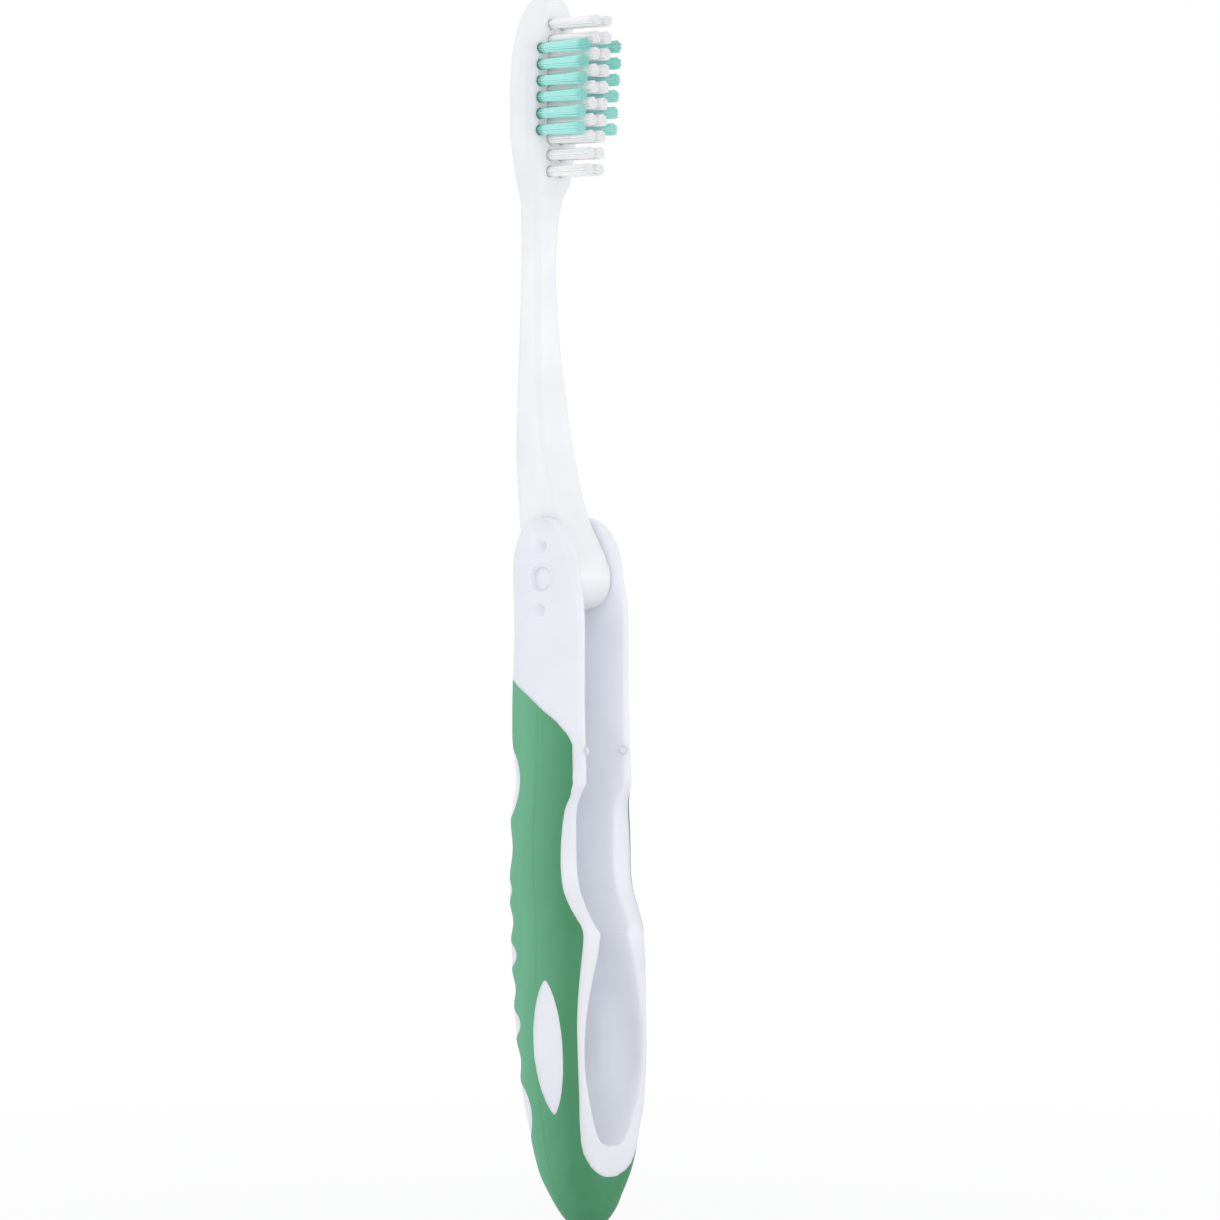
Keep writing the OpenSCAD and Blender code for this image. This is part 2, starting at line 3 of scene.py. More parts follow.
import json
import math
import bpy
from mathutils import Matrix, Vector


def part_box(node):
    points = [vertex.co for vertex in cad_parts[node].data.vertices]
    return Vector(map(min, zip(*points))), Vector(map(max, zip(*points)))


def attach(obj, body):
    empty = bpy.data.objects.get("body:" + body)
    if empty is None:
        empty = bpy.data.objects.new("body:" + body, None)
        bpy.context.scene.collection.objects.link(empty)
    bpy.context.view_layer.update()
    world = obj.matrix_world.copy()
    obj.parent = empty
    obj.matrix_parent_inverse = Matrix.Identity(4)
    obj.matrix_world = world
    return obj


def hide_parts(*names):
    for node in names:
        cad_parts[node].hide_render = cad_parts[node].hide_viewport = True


bl_info = {
    "name": "Folding travel toothbrush",
    "version": (1, 0, 0),
    "blender": (4, 5, 0),
    "location": "3D View > Sidebar > Toothbrush",
    "description": "Builds the visible pieces of a folding toothbrush round its CAD frame",
    "category": "Object",
}

import bmesh
import bpy
import numpy as np
from mathutils import Vector

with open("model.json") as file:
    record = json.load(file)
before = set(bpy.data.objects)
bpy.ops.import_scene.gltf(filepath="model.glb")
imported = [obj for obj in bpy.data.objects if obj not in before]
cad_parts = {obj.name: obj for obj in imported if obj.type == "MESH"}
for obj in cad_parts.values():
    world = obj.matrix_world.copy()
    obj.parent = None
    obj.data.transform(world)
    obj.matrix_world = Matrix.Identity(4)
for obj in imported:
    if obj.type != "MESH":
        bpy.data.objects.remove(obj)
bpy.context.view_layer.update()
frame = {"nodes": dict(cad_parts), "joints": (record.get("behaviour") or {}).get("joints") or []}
MM = 0.001

# The hinge axis and the heights that the pieces share, in mm
PIVOT_Y, PIVOT_Z = (c / MM for c in frame["joints"][0]["pos_m"][1:])
CROWN_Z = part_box("handle_body")[1].z / MM
GRIP_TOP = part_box("grip_cover")[1].z / MM
HEAD_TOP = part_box("neck_head")[1].z / MM
WHITE_TUFTS = sorted(n for n in frame["nodes"] if n.startswith("white_tuft"))
MINT_TUFTS = sorted(n for n in frame["nodes"] if n.startswith("mint_tuft"))
HOLE_DEPTH = 2.6        # how far a tuft's solid reaches into the head
TUFT_RISE = 9           # how far a tuft stands out of it
GOLDEN_ANGLE = 2.399963

# ---- sizes and profiles, in mm; the profiles run from 0 at the butt to 1 at the ears' top
HALF_W = 7.3            # half the handle's width
FRONT = 8.6             # how far the front and the back reach from the hinge axis
BACK = 8.9
BUTT = 9.0              # height of the rounded butt
EAR_RISE = 8.4          # height of the ears' round top
RIM_R = 0.9             # radius along the rim's outer edge
IN_R = 0.45             # radius along the recess's edge
SLOT_HALF = 3.7         # half the width between the ears
POCKET_HALF = 5.65      # half the width of the head's pocket
POCKET_LOW = 12.37      # the pocket's lower end
LIP_HALF = 1.35         # half the width of the columns that run on below it
WAIST_Z = 42.2          # the waist between pocket and channel, and its place in the profiles
WAIST_S = 0.4187
STOP_Z = PIVOT_Z + 3.5  # top of the stop web
WALL = 2.6              # wall behind the recess
SHOULDER_Z = 67.2       # where the cover's shoulder line leaves the rim
CORE_DROP = 0.55        # how far the core is sunk under the cover
COVER_WALL = 0.45       # the cover's wall, how far it stands proud, and its parting line's depth
COVER_PROUD = 0.06
SEAM_DEPTH = 0.11
PIN_HOLE = 1.1, 1.44, 1.72  # depth of the pin's hole, and its radius at the bottom and the top
# Columns of half a section: the recess's floor, foot, wall and edge; then front, edge, side and back outside
N_FLOOR, N_FOOT, N_WALL, N_ARC = 8, 7, 10, 5
OUTER = 14, 8, 34, 44
COVER = 12, 10, 30, 44
NECK = 10, 8, 10, 30
SEAM = sum(COVER[:3]) - 1

SIDE = [(0, 0.70), (0.05, 0.79), (0.09, 0.83), (0.14, 0.875), (0.18, 0.935), (0.25, 0.985), (0.32, 0.975),
        (0.38, 0.935), (0.42, 0.92), (0.45, 0.945), (0.48, 0.975), (0.533, 1), (0.59, 0.97), (0.64, 0.91),
        (0.7, 0.885), (0.8, 0.89), (0.9, 0.925), (1, 0.93)]
RIM = [(0, 1), (0.08, 0.97), (0.14, 0.94), (0.18, 0.94), (0.25, 0.955), (0.38, 0.93), (0.42, 0.915), (0.46, 0.99),
       (0.53, 1), (0.59, 0.97), (0.63, 0.83), (0.7, 0.815), (0.85, 0.785), (0.92, 0.775), (1, 0.8)]
FRONT_LINE = [(0, 0.86), (0.05, 0.87), (0.08, 0.885), (0.12, 0.932), (0.15, 0.943), (0.18, 0.965), (0.23, 0.968),
              (0.27, 0.965), (0.32, 0.975), (0.358, 0.99), (0.385, 1), (0.411, 0.985), (0.4276, 0.95),
              (0.4405, 0.86), (0.459, 0.73), (0.48, 0.61), (0.506, 0.55), (0.532, 0.535), (0.5615, 0.535),
              (0.58, 0.54), (0.599, 0.575), (0.619, 0.7), (0.629, 0.772), (0.68, 0.764), (0.744, 0.745),
              (0.84, 0.745), (0.88, 0.72), (0.917, 0.63), (1, 0.6)]
BACK_LINE = [(0, 0.18), (0.05, 0.28), (0.08, 0.42), (0.12, 0.56), (0.18, 0.72), (0.25, 0.82), (0.32, 0.905),
             (0.38, 0.965), (0.43, 1), (0.53, 1), (0.58, 0.965), (0.61, 0.87), (0.635, 0.83), (0.68, 0.86),
             (0.76, 0.87), (0.88, 0.855), (1, 0.85)]
LEVEL = [(0, -0.31), (0.05, -0.29), (0.12, -0.1), (0.25, 0), (0.42, 0.06), (0.85, 0.08), (0.92, 0.2), (1, 0.2)]
EDGE = [(0, 5), (0.06, 4.6), (0.1, 3), (0.14, 1.7), (0.18, 1), (0.9, 1), (0.95, 1.5), (1, 1.6)]
SQUARE = [(0, 2), (0.14, 2.3), (0.25, 2.5), (0.42, 2.9), (0.53, 2.6), (0.63, 3.1), (0.7, 4.2), (0.85, 3.4), (1, 3.4)]
POCKET = [(0, 0.12), (0.006, 0.24), (0.02, 0.38), (0.04, 0.47), (0.07, 0.56), (0.12, 0.665), (0.168, 0.755),
          (0.215, 0.83), (0.261, 0.89), (0.353, 0.975), (0.449, 1), (0.541, 0.985), (0.634, 0.93), (0.726, 0.835),
          (0.799, 0.74), (0.868, 0.645), (0.937, 0.545), (1, 0.46)]
CHANNEL = [(0, 0.70), (0.02, 0.86), (0.045, 0.93), (0.23, 0.973), (0.42, 1), (1, 1)]
SHOULDER = [(0, 0), (0.035, 0.1), (0.11, 0.27), (0.25, 0.46), (0.45, 0.63), (0.65, 0.81), (0.85, 0.96), (0.9, 1)]
WINDOWS = [(0.121, 0.21, 0.5), (0.268, 0.3115, 0.46), (0.366, 0.405, 0.42), (0.461, 0.494, 0.34), (0.578, 0.678, 0.37)]

NECK_HALF = [(0, 1.7), (0.093, 1.67), (0.2, 1.65), (0.335, 1.65), (0.465, 1.5), (0.6, 1.28), (0.736, 1.1),
             (0.837, 1.04), (0.93, 1.18), (1, 1.4)]
NECK_FRONT = [(0, -0.494), (0.057, -0.42), (0.107, -0.24), (0.143, -0.107), (0.17, -0.028), (0.236, 0.115),
              (0.342, 0.294), (0.42, 0.376), (0.527, 0.466), (0.632, 0.522), (0.735, 0.553), (0.845, 0.558),
              (0.936, 0.543), (1, 0.495)]
NECK_BACK = [(0, 0.87), (0.067, 0.88), (0.2, 0.955), (0.28, 0.98), (0.335, 1), (0.65, 1), (0.837, 0.99),
             (0.93, 0.96), (1, 0.93)]
NECK_LEVEL = [(0, 0.3), (0.2, 0.5), (0.465, 0.7), (0.837, 0.78), (1, 0.72)]
HEAD_HALF = [(0, 0.577), (0.124, 0.8), (0.211, 0.91), (0.324, 0.98), (0.465, 1), (1, 1)]
HEAD_BACK = [(0, 0.93), (0.155, 0.96), (0.352, 1), (0.662, 1), (0.859, 0.985), (1, 0.98)]
HEAD_LEVEL = [(0, 0.72), (0.155, 0.56), (1, 0.56)]
# How deep behind the rim's face the grip's edge runs, and how far from the middle it runs round the lip
DROP = [(14.1, 0.75), (19.8, 0.55), (25.5, 0.5), (31, 0.68), (36, 0.66), (38.2, 0.6), (40.3, 0.44), (43, 0.25),
        (46, 0.25), (50.8, 0.15), (54.7, 0.08), (59.7, 0.04), (61.7, 0.2), (63, 0.85), (64.5, 1.2), (70, 1.25)]
LIP_LOW = [(0, 7.95), (1, 8.03), (1.9, 8.24), (2.7, 8.6), (3.4, 9.07), (4.1, 9.7), (4.7, 10.45)]
LIP_HIGH = [(10.45, 4.7), (11.2, 5.2), (12.1, 5.62), (13.1, 5.88), (14.1, 6.05)]
NECK_W = 2.0
HEAD_W = 4.85
HEAD_LEN = 29.4
TIP_LEN = 15.8
# Heights over the hinge axis: the head's top and heel, the bristle face's heel, the round tip and the neck's foot
HEAD_RISE = HEAD_TOP - PIVOT_Z
HEAD_Z = HEAD_RISE - HEAD_LEN
FACE_Z = HEAD_Z + 2.9
TIP_Z = HEAD_RISE - TIP_LEN
FOOT_Z = 3.6
FACE_HEEL_Y = 3.5
FACE_TIP_Y = 3.05


def curve(table, s):
    """Smooth curve through a table's rows, read at s, which may be an array."""
    t = np.asarray(table, float)
    s = np.asarray(s, float)
    x, v = t[:, 0], t[:, 1]
    n = len(x)
    lo, hi = np.maximum(np.arange(n) - 1, 0), np.minimum(np.arange(n) + 1, n - 1)
    slope = (v[hi] - v[lo]) / (x[hi] - x[lo])
    i = np.clip(np.searchsorted(x, s, side="right") - 1, 0, n - 2)
    d = x[i + 1] - x[i]
    u = np.clip((s - x[i]) / d, 0, 1)
    return ((2 * u**3 - 3 * u**2 + 1) * v[i] + (u**3 - 2 * u**2 + u) * d * slope[i]
            + (3 * u**2 - 2 * u**3) * v[i + 1] + (u**3 - u**2) * d * slope[i + 1])


def smooth(low, high, x):
    """A soft step from 0 at low to 1 at high."""
    t = np.clip((np.asarray(x, float) - low) / (high - low), 0, 1)
    return t * t * (3 - 2 * t)


def cap(past, length, end):
    """A quarter round's share of its radius, at a distance past its start."""
    return max(end, math.sqrt(max(0.0, 1 - (max(past, 0.0) / length) ** 2)))


def share(z):
    """A height's place in the profiles."""
    return WAIST_S * z / WAIST_Z if z < WAIST_Z else WAIST_S + (1 - WAIST_S) * (z - WAIST_Z) / (CROWN_Z - WAIST_Z)


def height(s):
    """The height at a place in the profiles."""
    return WAIST_Z * s / WAIST_S if s < WAIST_S else WAIST_Z + (CROWN_Z - WAIST_Z) * (s - WAIST_S) / (1 - WAIST_S)


def at(profile, z):
    return float(curve(profile, share(z)))


EAR_Z = CROWN_Z - EAR_RISE


def ends(z):
    """How much of the full section is left at a height: the butt's share and the ears' share."""
    t = min(1.0, max(0.0, z - EAR_Z) / EAR_RISE)
    return cap(BUTT - z, BUTT, 0.02), max(0.05, (1 - t**2.2) ** (1 / 2.2))


def level_at(z):
    """How far back a section is widest."""
    return BACK * at(LEVEL, z)


def front_at(z):
    b, e = ends(z)
    return level_at(z) - (level_at(z) + FRONT * at(FRONT_LINE, z)) * b * e


def back_at(z):
    b, e = ends(z)
    return level_at(z) + (BACK * at(BACK_LINE, z) - level_at(z)) * b * e


def half_at(z):
    b, e = ends(z)
    half = HALF_W * at(SIDE, z) * b
    return half if z <= EAR_Z else SLOT_HALF + (half - SLOT_HALF) * e**0.4


def rim_at(z):
    """Half the width of the front face with its edges."""
    half = half_at(z)
    rim = half * at(RIM, z)
    return min(half, rim) if z <= EAR_Z else max(rim, SLOT_HALF + 0.45 * (half - SLOT_HALF))


def pocket_half(z):
    """Half the width of the pocket and of the channel above it."""
    if z < WAIST_Z:
        return POCKET_HALF * float(curve(POCKET, (z - POCKET_LOW) / (WAIST_Z - POCKET_LOW)))
    return SLOT_HALF * float(curve(CHANNEL, (z - WAIST_Z) / (PIVOT_Z - WAIST_Z)))


def floor_at(z):
    """How far back the recess's floor lies."""
    return back_at(min(z, EAR_Z)) - WALL + (0.12 if z < 63.2 else 0)


def foot_at(z):
    """Radius of the corner along the recess's foot."""
    return 1.1 + 1.9 * math.sin(math.pi * min(1.0, max(0.0, (z - POCKET_LOW) / (WAIST_Z - POCKET_LOW))))


def resample(path, n):
    """A path resampled to n points, evenly along its length."""
    p = np.asarray(path, float)
    d = np.r_[0, np.cumsum(np.hypot(*np.diff(p, axis=0).T))]
    t = np.linspace(0, d[-1], n)
    return np.c_[np.interp(t, d, p[:, 0]), np.interp(t, d, p[:, 1])]


def quarter(n):
    """The angles of a quarter turn in n steps, without its start."""
    return np.radians(np.linspace(0, 90, n + 1)[1:])


def outer_path(half, rim, front, back, level, edge, square, start, columns):
    """Half a section from x = start on the front, round the side, to the middle of the back."""
    n_flat, n_edge, n_side, n_back = columns
    r = min(edge, rim * 0.96, (level - front) * 0.96)
    lead = max(rim - r, start + 0.02)
    flat = np.c_[np.linspace(start, lead, n_flat), np.full(n_flat, front)]
    a = quarter(n_edge)
    arc = np.c_[lead + (rim - lead) * np.sin(a), front + r - r * np.cos(a)]
    t = np.linspace(0, 1, 40)[1:]
    side = np.c_[rim + (half - rim) * np.sin(np.pi / 2 * t), front + r + (level - front - r) * t]
    side = resample(np.vstack([arc[-1:], side]), n_side + 1)[1:]
    q = np.radians(np.linspace(0, 45, 60))
    low = np.c_[np.cos(q)**(2 / square), np.sin(q)**(2 / square)]
    bend = np.vstack([low, low[-2::-1, ::-1]])
    bend = np.c_[bend[:, 0] * half, level + (back - level) * bend[:, 1]]
    bend = resample(bend, n_back + 1)[1:]
    bend[-1, 0] = 0
    return np.vstack([flat, arc, side, bend])


def section(z, start, columns):
    """Half of the handle's outside at a height, from x = start on its front."""
    return outer_path(half_at(z), rim_at(z), front_at(z), back_at(z), level_at(z), RIM_R * at(EDGE, z),
                      at(SQUARE, z), start, columns)


def polygon_distance(points, polygon):
    """Signed distance of points from a polygon's edge, positive inside."""
    p = np.asarray(points, float)
    a = np.asarray(polygon, float)
    b = np.roll(a, -1, axis=0)
    best = np.full(len(p), 1e9)
    inside = np.zeros(len(p), bool)
    for (x0, y0), (x1, y1) in zip(a, b):
        dx, dy = x1 - x0, y1 - y0
        t = np.clip(((p[:, 0] - x0) * dx + (p[:, 1] - y0) * dy) / (dx * dx + dy * dy + 1e-12), 0, 1)
        best = np.minimum(best, np.hypot(p[:, 0] - x0 - t * dx, p[:, 1] - y0 - t * dy))
        if y0 != y1:
            crosses = (y0 > p[:, 1]) != (y1 > p[:, 1])
            inside ^= crosses & (p[:, 0] < dx * (p[:, 1] - y0) / (y1 - y0) + x0)
    return np.where(inside, best, -best)


def edge_length(z):
    """Length round a section, from the middle of its front, to the grip's edge."""
    if z < LIP_HIGH[-1][0]:
        return float(curve(LIP_HIGH, z))
    rim, front, level, drop = rim_at(z), front_at(z), level_at(z), float(curve(DROP, z))
    r = min(RIM_R * at(EDGE, z), rim * 0.96, (level - front) * 0.96)
    return rim - r + r * math.acos(max(0.0, 1 - drop / r)) + max(0.0, drop - r)


def bare_front():
    """Outline of the bare white front, unrolled: length round the section, and height."""
    edge = [(s, float(curve(LIP_LOW, s))) for s in np.linspace(0, LIP_LOW[-1][0], 40)]
    edge += [(edge_length(z), z) for z in np.linspace(10.6, 75, 260)]
    return edge + [(edge[-1][0], 200), (-edge[-1][0], 200)] + [(-s, z) for s, z in edge[:0:-1]]


def side_zone():
    """Outline of the grip in the side view: how far back and how high, in mm from the hinge axis and the floor."""
    rim_y, back_y = front_at(SHOULDER_Z) + 0.45, back_at(GRIP_TOP)
    t, rows = np.linspace(0, 1, 40), np.linspace(0, 1, len(SHOULDER))
    line = [(rim_y + (back_y - rim_y) * a, SHOULDER_Z + (GRIP_TOP - SHOULDER_Z) * b)
            for a, b in zip(*(np.interp(t, rows, column) for column in zip(*SHOULDER)))]
    return [(-30, -5), (-30, SHOULDER_Z)] + line + [(30, GRIP_TOP), (30, -5)]


def oval_polygon():
    """The pointed oval window on the side, leaning 5 degrees."""
    half_w, half_h, point, lean = 2.84, 9.5, 1.42, math.radians(5)
    a = np.radians(np.arange(0, 360, 4))
    y, z = half_w * np.sign(np.cos(a)) * abs(np.cos(a))**point, half_h * np.sin(a)
    return np.c_[-0.254 * FRONT + y * math.cos(lean) + z * math.sin(lean),
                 26.25 - y * math.sin(lean) + z * math.cos(lean)]


def window_polygons():
    """The windows down the back, as ellipses in the side view."""
    shapes, a = [], np.radians(np.arange(0, 360, 6))
    for low, high, depth in WINDOWS:
        low, high = height(low), height(high)
        middle = (low + high) / 2
        shapes.append(np.c_[back_at(middle) + depth * BACK * np.cos(a), middle + (high - low) / 2 * np.sin(a)])
    return shapes


def grip_distance(length, grid):
    """Distance inside the grip's edge at points of the handle's surface, negative on bare white."""
    side = grid[..., 1:].reshape(-1, 2)
    d = -polygon_distance(np.c_[length.ravel(), side[:, 1]], bare_front())
    d = np.minimum(d, polygon_distance(side, side_zone()))
    for shape in (oval_polygon(), *window_polygons()):
        d = np.minimum(d, -polygon_distance(side, shape))
    return d.reshape(length.shape)


def lengths(grid):
    """Length round each section of a grid, from the middle of its front."""
    step = np.hypot(*np.moveaxis(np.diff(grid[:, :, :2], axis=1), -1, 0))
    return grid[:, :1, 0] + np.c_[np.zeros(len(grid)), np.cumsum(step, axis=1)]


def dip_at(z):
    """Dip of the green bands between the windows down the back, 0.45 mm at most."""
    best = 0.0
    for a, b in zip(WINDOWS, WINDOWS[1:]):
        low, high = height(a[1]), height(b[0])
        if low < z < high:
            best = 0.45 * math.sin(math.pi * (z - low) / (high - low)) ** 2
    return best


# ---- meshes
def mesh_object(name, points, faces):
    """A piece from points in mm, with its doubles merged, its normals pointing out and its sharp edges marked."""
    mesh = bpy.data.meshes.new(name)
    mesh.from_pydata([tuple(p) for p in np.asarray(points, float) * MM], [], [tuple(map(int, f)) for f in faces])
    obj = bpy.data.objects.new(name, mesh)
    bpy.context.scene.collection.objects.link(obj)
    finish_mesh(mesh)
    return obj


def finish_mesh(mesh, angle=35, merge=1e-6):
    bm = bmesh.new()
    bm.from_mesh(mesh)
    bmesh.ops.remove_doubles(bm, verts=bm.verts, dist=merge)
    bmesh.ops.dissolve_degenerate(bm, edges=bm.edges, dist=merge / 2)
    bmesh.ops.recalc_face_normals(bm, faces=bm.faces)
    bm.to_mesh(mesh)
    bm.free()
    mesh.polygons.foreach_set("use_smooth", [True] * len(mesh.polygons))
    mesh.set_sharp_from_angle(angle=math.radians(angle))
    mesh.update()


def strip_faces(rows, columns):
    """Quads between rows of points laid out one after another."""
    i, j = np.meshgrid(np.arange(rows - 1), np.arange(columns - 1), indexing="ij")
    a = (i * columns + j).ravel()
    return np.c_[a, a + 1, a + columns + 1, a + columns]


def ring_faces(rings, n, base=0):
    """Quads between closed rings of n points laid out one after another."""
    return [(a + k, a + (k + 1) % n, a + n + (k + 1) % n, a + n + k)
            for a in range(base, base + (rings - 1) * n, n) for k in range(n)]


def mirrored(verts, faces):
    """Half a piece's points and faces, with those of its other half."""
    n = len(verts)
    return np.vstack([verts, verts * [-1, 1, 1]]), faces + [tuple(n + i for i in reversed(f)) for f in faces]


def turned(name, half, n):
    """A piece from half a profile of (x, radius) pairs, mirrored and turned round the hinge axis."""
    profile = half + [(-x, v) for x, v in reversed(half)]
    m = len(profile)
    points, faces = [], []
    for k in range(n):
        a = 2 * math.pi * k / n
        points += [(x, PIVOT_Y + v * math.cos(a), PIVOT_Z + v * math.sin(a)) for x, v in profile]
        p, q = k * m, (k + 1) % n * m
        faces += [(p + i, p + i + 1, q + i + 1, q + i) for i in range(m - 1)]
    return mesh_object(name, points, faces)


def apply_modifiers(obj):
    """The object with its modifiers turned into a plain mesh."""
    graph = bpy.context.evaluated_depsgraph_get()
    mesh = bpy.data.meshes.new_from_object(obj.evaluated_get(graph), depsgraph=graph)
    obj.modifiers.clear()
    obj.data = mesh
    return obj


def join(obj, other):
    """Adds another piece's faces to a piece."""
    bm = bmesh.new()
    bm.from_mesh(obj.data)
    bm.from_mesh(other.data)
    bm.to_mesh(obj.data)
    bm.free()
    bpy.data.objects.remove(other)


def cut(obj, cutter, operation="DIFFERENCE"):
    """Exact boolean of two pieces; the second one goes."""
    tool = obj.modifiers.new("cut", "BOOLEAN")
    tool.operation, tool.solver, tool.object = operation, "EXACT", cutter
    apply_modifiers(obj)
    bpy.data.objects.remove(cutter)
    return obj


# ---- colours and materials
def linear(colour):
    """An sRGB hex value as linear RGBA."""
    v = [int(colour[i:i + 2], 16) / 255 for i in (1, 3, 5)]
    return [c / 12.92 if c <= 0.04045 else ((c + 0.055) / 1.055) ** 2.4 for c in v] + [1]


def wire(tree, node, inputs):
    """Sets a node's inputs: each takes a value, another node's output, or a node for its first output."""
    for key, value in inputs.items():
        if isinstance(value, bpy.types.Node):
            value = value.outputs[0]
        if isinstance(value, bpy.types.NodeSocket):
            tree.links.new(value, node.inputs[key])
        else:
            node.inputs[key].default_value = value


def add(tree, kind, inputs=None, **settings):
    """A node with its settings, values and links."""
    node = tree.nodes.new(kind)
    for key, value in settings.items():
        setattr(node, key, value)
    wire(tree, node, inputs or {})
    return node


def material(name, colour, values):
    """A new material, with what is the same all over its surface set on the shader's own sockets."""
    m = bpy.data.materials.new(name)
    m.use_nodes, m.diffuse_color = True, colour
    tree = m.node_tree
    bsdf = tree.nodes["Principled BSDF"]
    wire(tree, bsdf, {"Base Color": colour, **values})
    return m, tree, bsdf, add(tree, "ShaderNodeTexCoord").outputs["Object"]


def cover(obj, m):
    """Gives a piece its one material."""
    obj.data.materials.clear()
    obj.data.materials.append(m)


def white_moulding(name, colour, weight, grain):
    """Injection moulded polypropylene: a soft satin skin, light that sinks a little way in, faint flow lines."""
    m, tree, bsdf, where = material(name, colour, {
        "Roughness": 0.36, "IOR": 1.49, "Subsurface Weight": weight, "Subsurface Radius": (1, 1, 1),
        "Subsurface Scale": 2.5 * MM})
    # satin spark-eroded skin: its pits are finer than this, and are drawn 0.12 to 0.2 mm apart so that they show
    pits = add(tree, "ShaderNodeTexNoise", {"Vector": where, "Scale": 1 / (grain * MM), "Detail": 2.0})
    # clouds some 7 mm across, where the melt flowed, with a little less or more gloss and white
    flow = add(tree, "ShaderNodeTexNoise", {"Vector": where, "Scale": 1 / (7 * MM), "Detail": 3.0})
    rough = add(tree, "ShaderNodeMapRange", {"Value": flow, "From Min": 0.3, "From Max": 0.7,
                                             "To Min": 0.32, "To Max": 0.42})
    part = add(tree, "ShaderNodeMapRange", {"Value": flow, "From Min": 0.35, "From Max": 0.65})
    tint = add(tree, "ShaderNodeMix", {"A": colour, "B": [c * 0.965 for c in colour[:3]] + [1], "Factor": part},
               data_type="RGBA")
    bump = add(tree, "ShaderNodeBump", {"Height": pits, "Strength": 0.12, "Distance": 0.01 * MM})
    wire(tree, bsdf, {"Base Color": tint.outputs["Result"], "Roughness": rough, "Normal": bump})
    return m


# ---- handle
def handle_heights():
    """Heights of the handle's rings: fine round its ends, the pocket's end and the marks by the hinge."""
    end = POCKET_LOW
    steps = [end - 1e-4, end + 1e-4, STOP_Z - 1e-4, STOP_Z + 1e-4]
    z = steps + [BUTT * (1 - math.cos(math.radians(a))) for a in np.linspace(4, 88, 20)]
    z += [end - IN_R * (1 - math.sin(math.radians(a))) for a in (0, 22, 45, 68)]
    z += [end + 1.1 * (1 - math.cos(math.radians(a))) for a in (20, 40, 60, 75, 90)]
    for low, high, pitch in ((BUTT + 0.2, end - 0.6, 0.3), (end + 1.4, 20, 0.3), (20, 82, 0.3), (82, 85, 0.5),
                             (85, EAR_Z + 3.0, 0.25)):
        z += list(np.arange(low, high, pitch))
    top = [EAR_Z + EAR_RISE * math.sin(math.radians(a)) for a in np.linspace(22, 87, 22)]
    z = sorted(z + [t for t in top if t > EAR_Z + 3.1])
    # of rings closer than 0.03 mm only one stays, except at the two steps
    keep = z[:1]
    for v in z[1:]:
        if v - keep[-1] > 0.03 or v in steps:
            keep.append(v)
    return keep


def pocket_outline():
    """Outline of the recess, seen from the front."""
    z = np.r_[np.linspace(POCKET_LOW, POCKET_LOW + 6, 60), np.linspace(POCKET_LOW + 6.2, STOP_Z + 4, 160)]
    a = np.array([pocket_half(v) for v in z])
    return np.vstack([np.c_[a, z], np.c_[-a[::-1], z[::-1]]])


def inner_edge(wall_x, front, r):
    """The rounded edge from the recess's wall to the front face."""
    t = quarter(N_ARC)
    return np.c_[wall_x + r - r * np.cos(t), front + r - r * np.sin(t)]


def inner_path(z, outline):
    """Half a section of the recess, from the middle of its floor to the inner edge of the rim."""
    front, deep, foot = front_at(z), floor_at(z), foot_at(z)
    if z < POCKET_LOW - IN_R - 1e-6:
        x = np.linspace(0, LIP_HALF, N_FLOOR + N_FOOT + N_WALL + N_ARC)
        return np.c_[x, np.full(len(x), front)]
    if z < POCKET_LOW:
        a = pocket_half(POCKET_LOW)
        x = np.r_[np.linspace(0, a, N_FLOOR + N_FOOT), np.full(N_WALL, a), np.linspace(a, LIP_HALF, N_ARC + 1)[1:]]
        e = np.clip(-polygon_distance(np.c_[x, np.full(len(x), z)], outline), 0, IN_R)
        return np.c_[x, front + IN_R - np.sqrt(np.maximum(IN_R**2 - (IN_R - e)**2, 0))]
    a = pocket_half(z)
    # where the walls lean, the foot's corner is wider in a level section
    fx = min(a, foot * math.hypot(1, (pocket_half(z + 0.05) - a) / 0.05))
    x = np.r_[np.linspace(0, a - fx, N_FLOOR), (a - fx) + fx * np.sin(quarter(N_FOOT))]
    d = np.clip(polygon_distance(np.c_[x, np.full(len(x), z)], outline), 0, foot)
    d[-1] = 0
    base = np.c_[x, deep - foot + np.sqrt(np.maximum(foot**2 - (foot - d)**2, 0))]
    wall = np.c_[np.full(N_WALL, a), np.linspace(deep - foot, front + IN_R, N_WALL + 1)[1:]]
    return np.vstack([base, wall, inner_edge(a, front, IN_R)])


def ear_paths(z):
    """Half a section above the stop web: the inner wall from the back edge forward, and the outside round to it."""
    front, back_r, r = front_at(z), 0.35, min(IN_R, 0.3 * (half_at(z) - SLOT_HALF))
    body, bend = np.split(section(z, SLOT_HALF + r, (*OUTER[:3], 200)), [sum(OUTER[:3])])
    bend = bend[bend[:, 0] > SLOT_HALF + back_r]
    edge_y = bend[-1, 1] if len(bend) else level_at(z)
    bend = resample(np.vstack([body[-1:], bend, [[SLOT_HALF + back_r, edge_y]]]), OUTER[3] + 1)[1:]
    t = np.radians(np.linspace(0, 90, N_ARC + 1))
    corner = np.c_[SLOT_HALF + back_r - back_r * np.sin(t), edge_y - back_r + back_r * np.cos(t)]
    n = N_FLOOR + N_FOOT + N_WALL - len(t)
    wall = np.c_[np.full(n, SLOT_HALF), np.linspace(edge_y - back_r, front + r, n + 1)[1:]]
    return np.vstack([corner, wall, inner_edge(SLOT_HALF, front, r)]), np.vstack([body, bend])


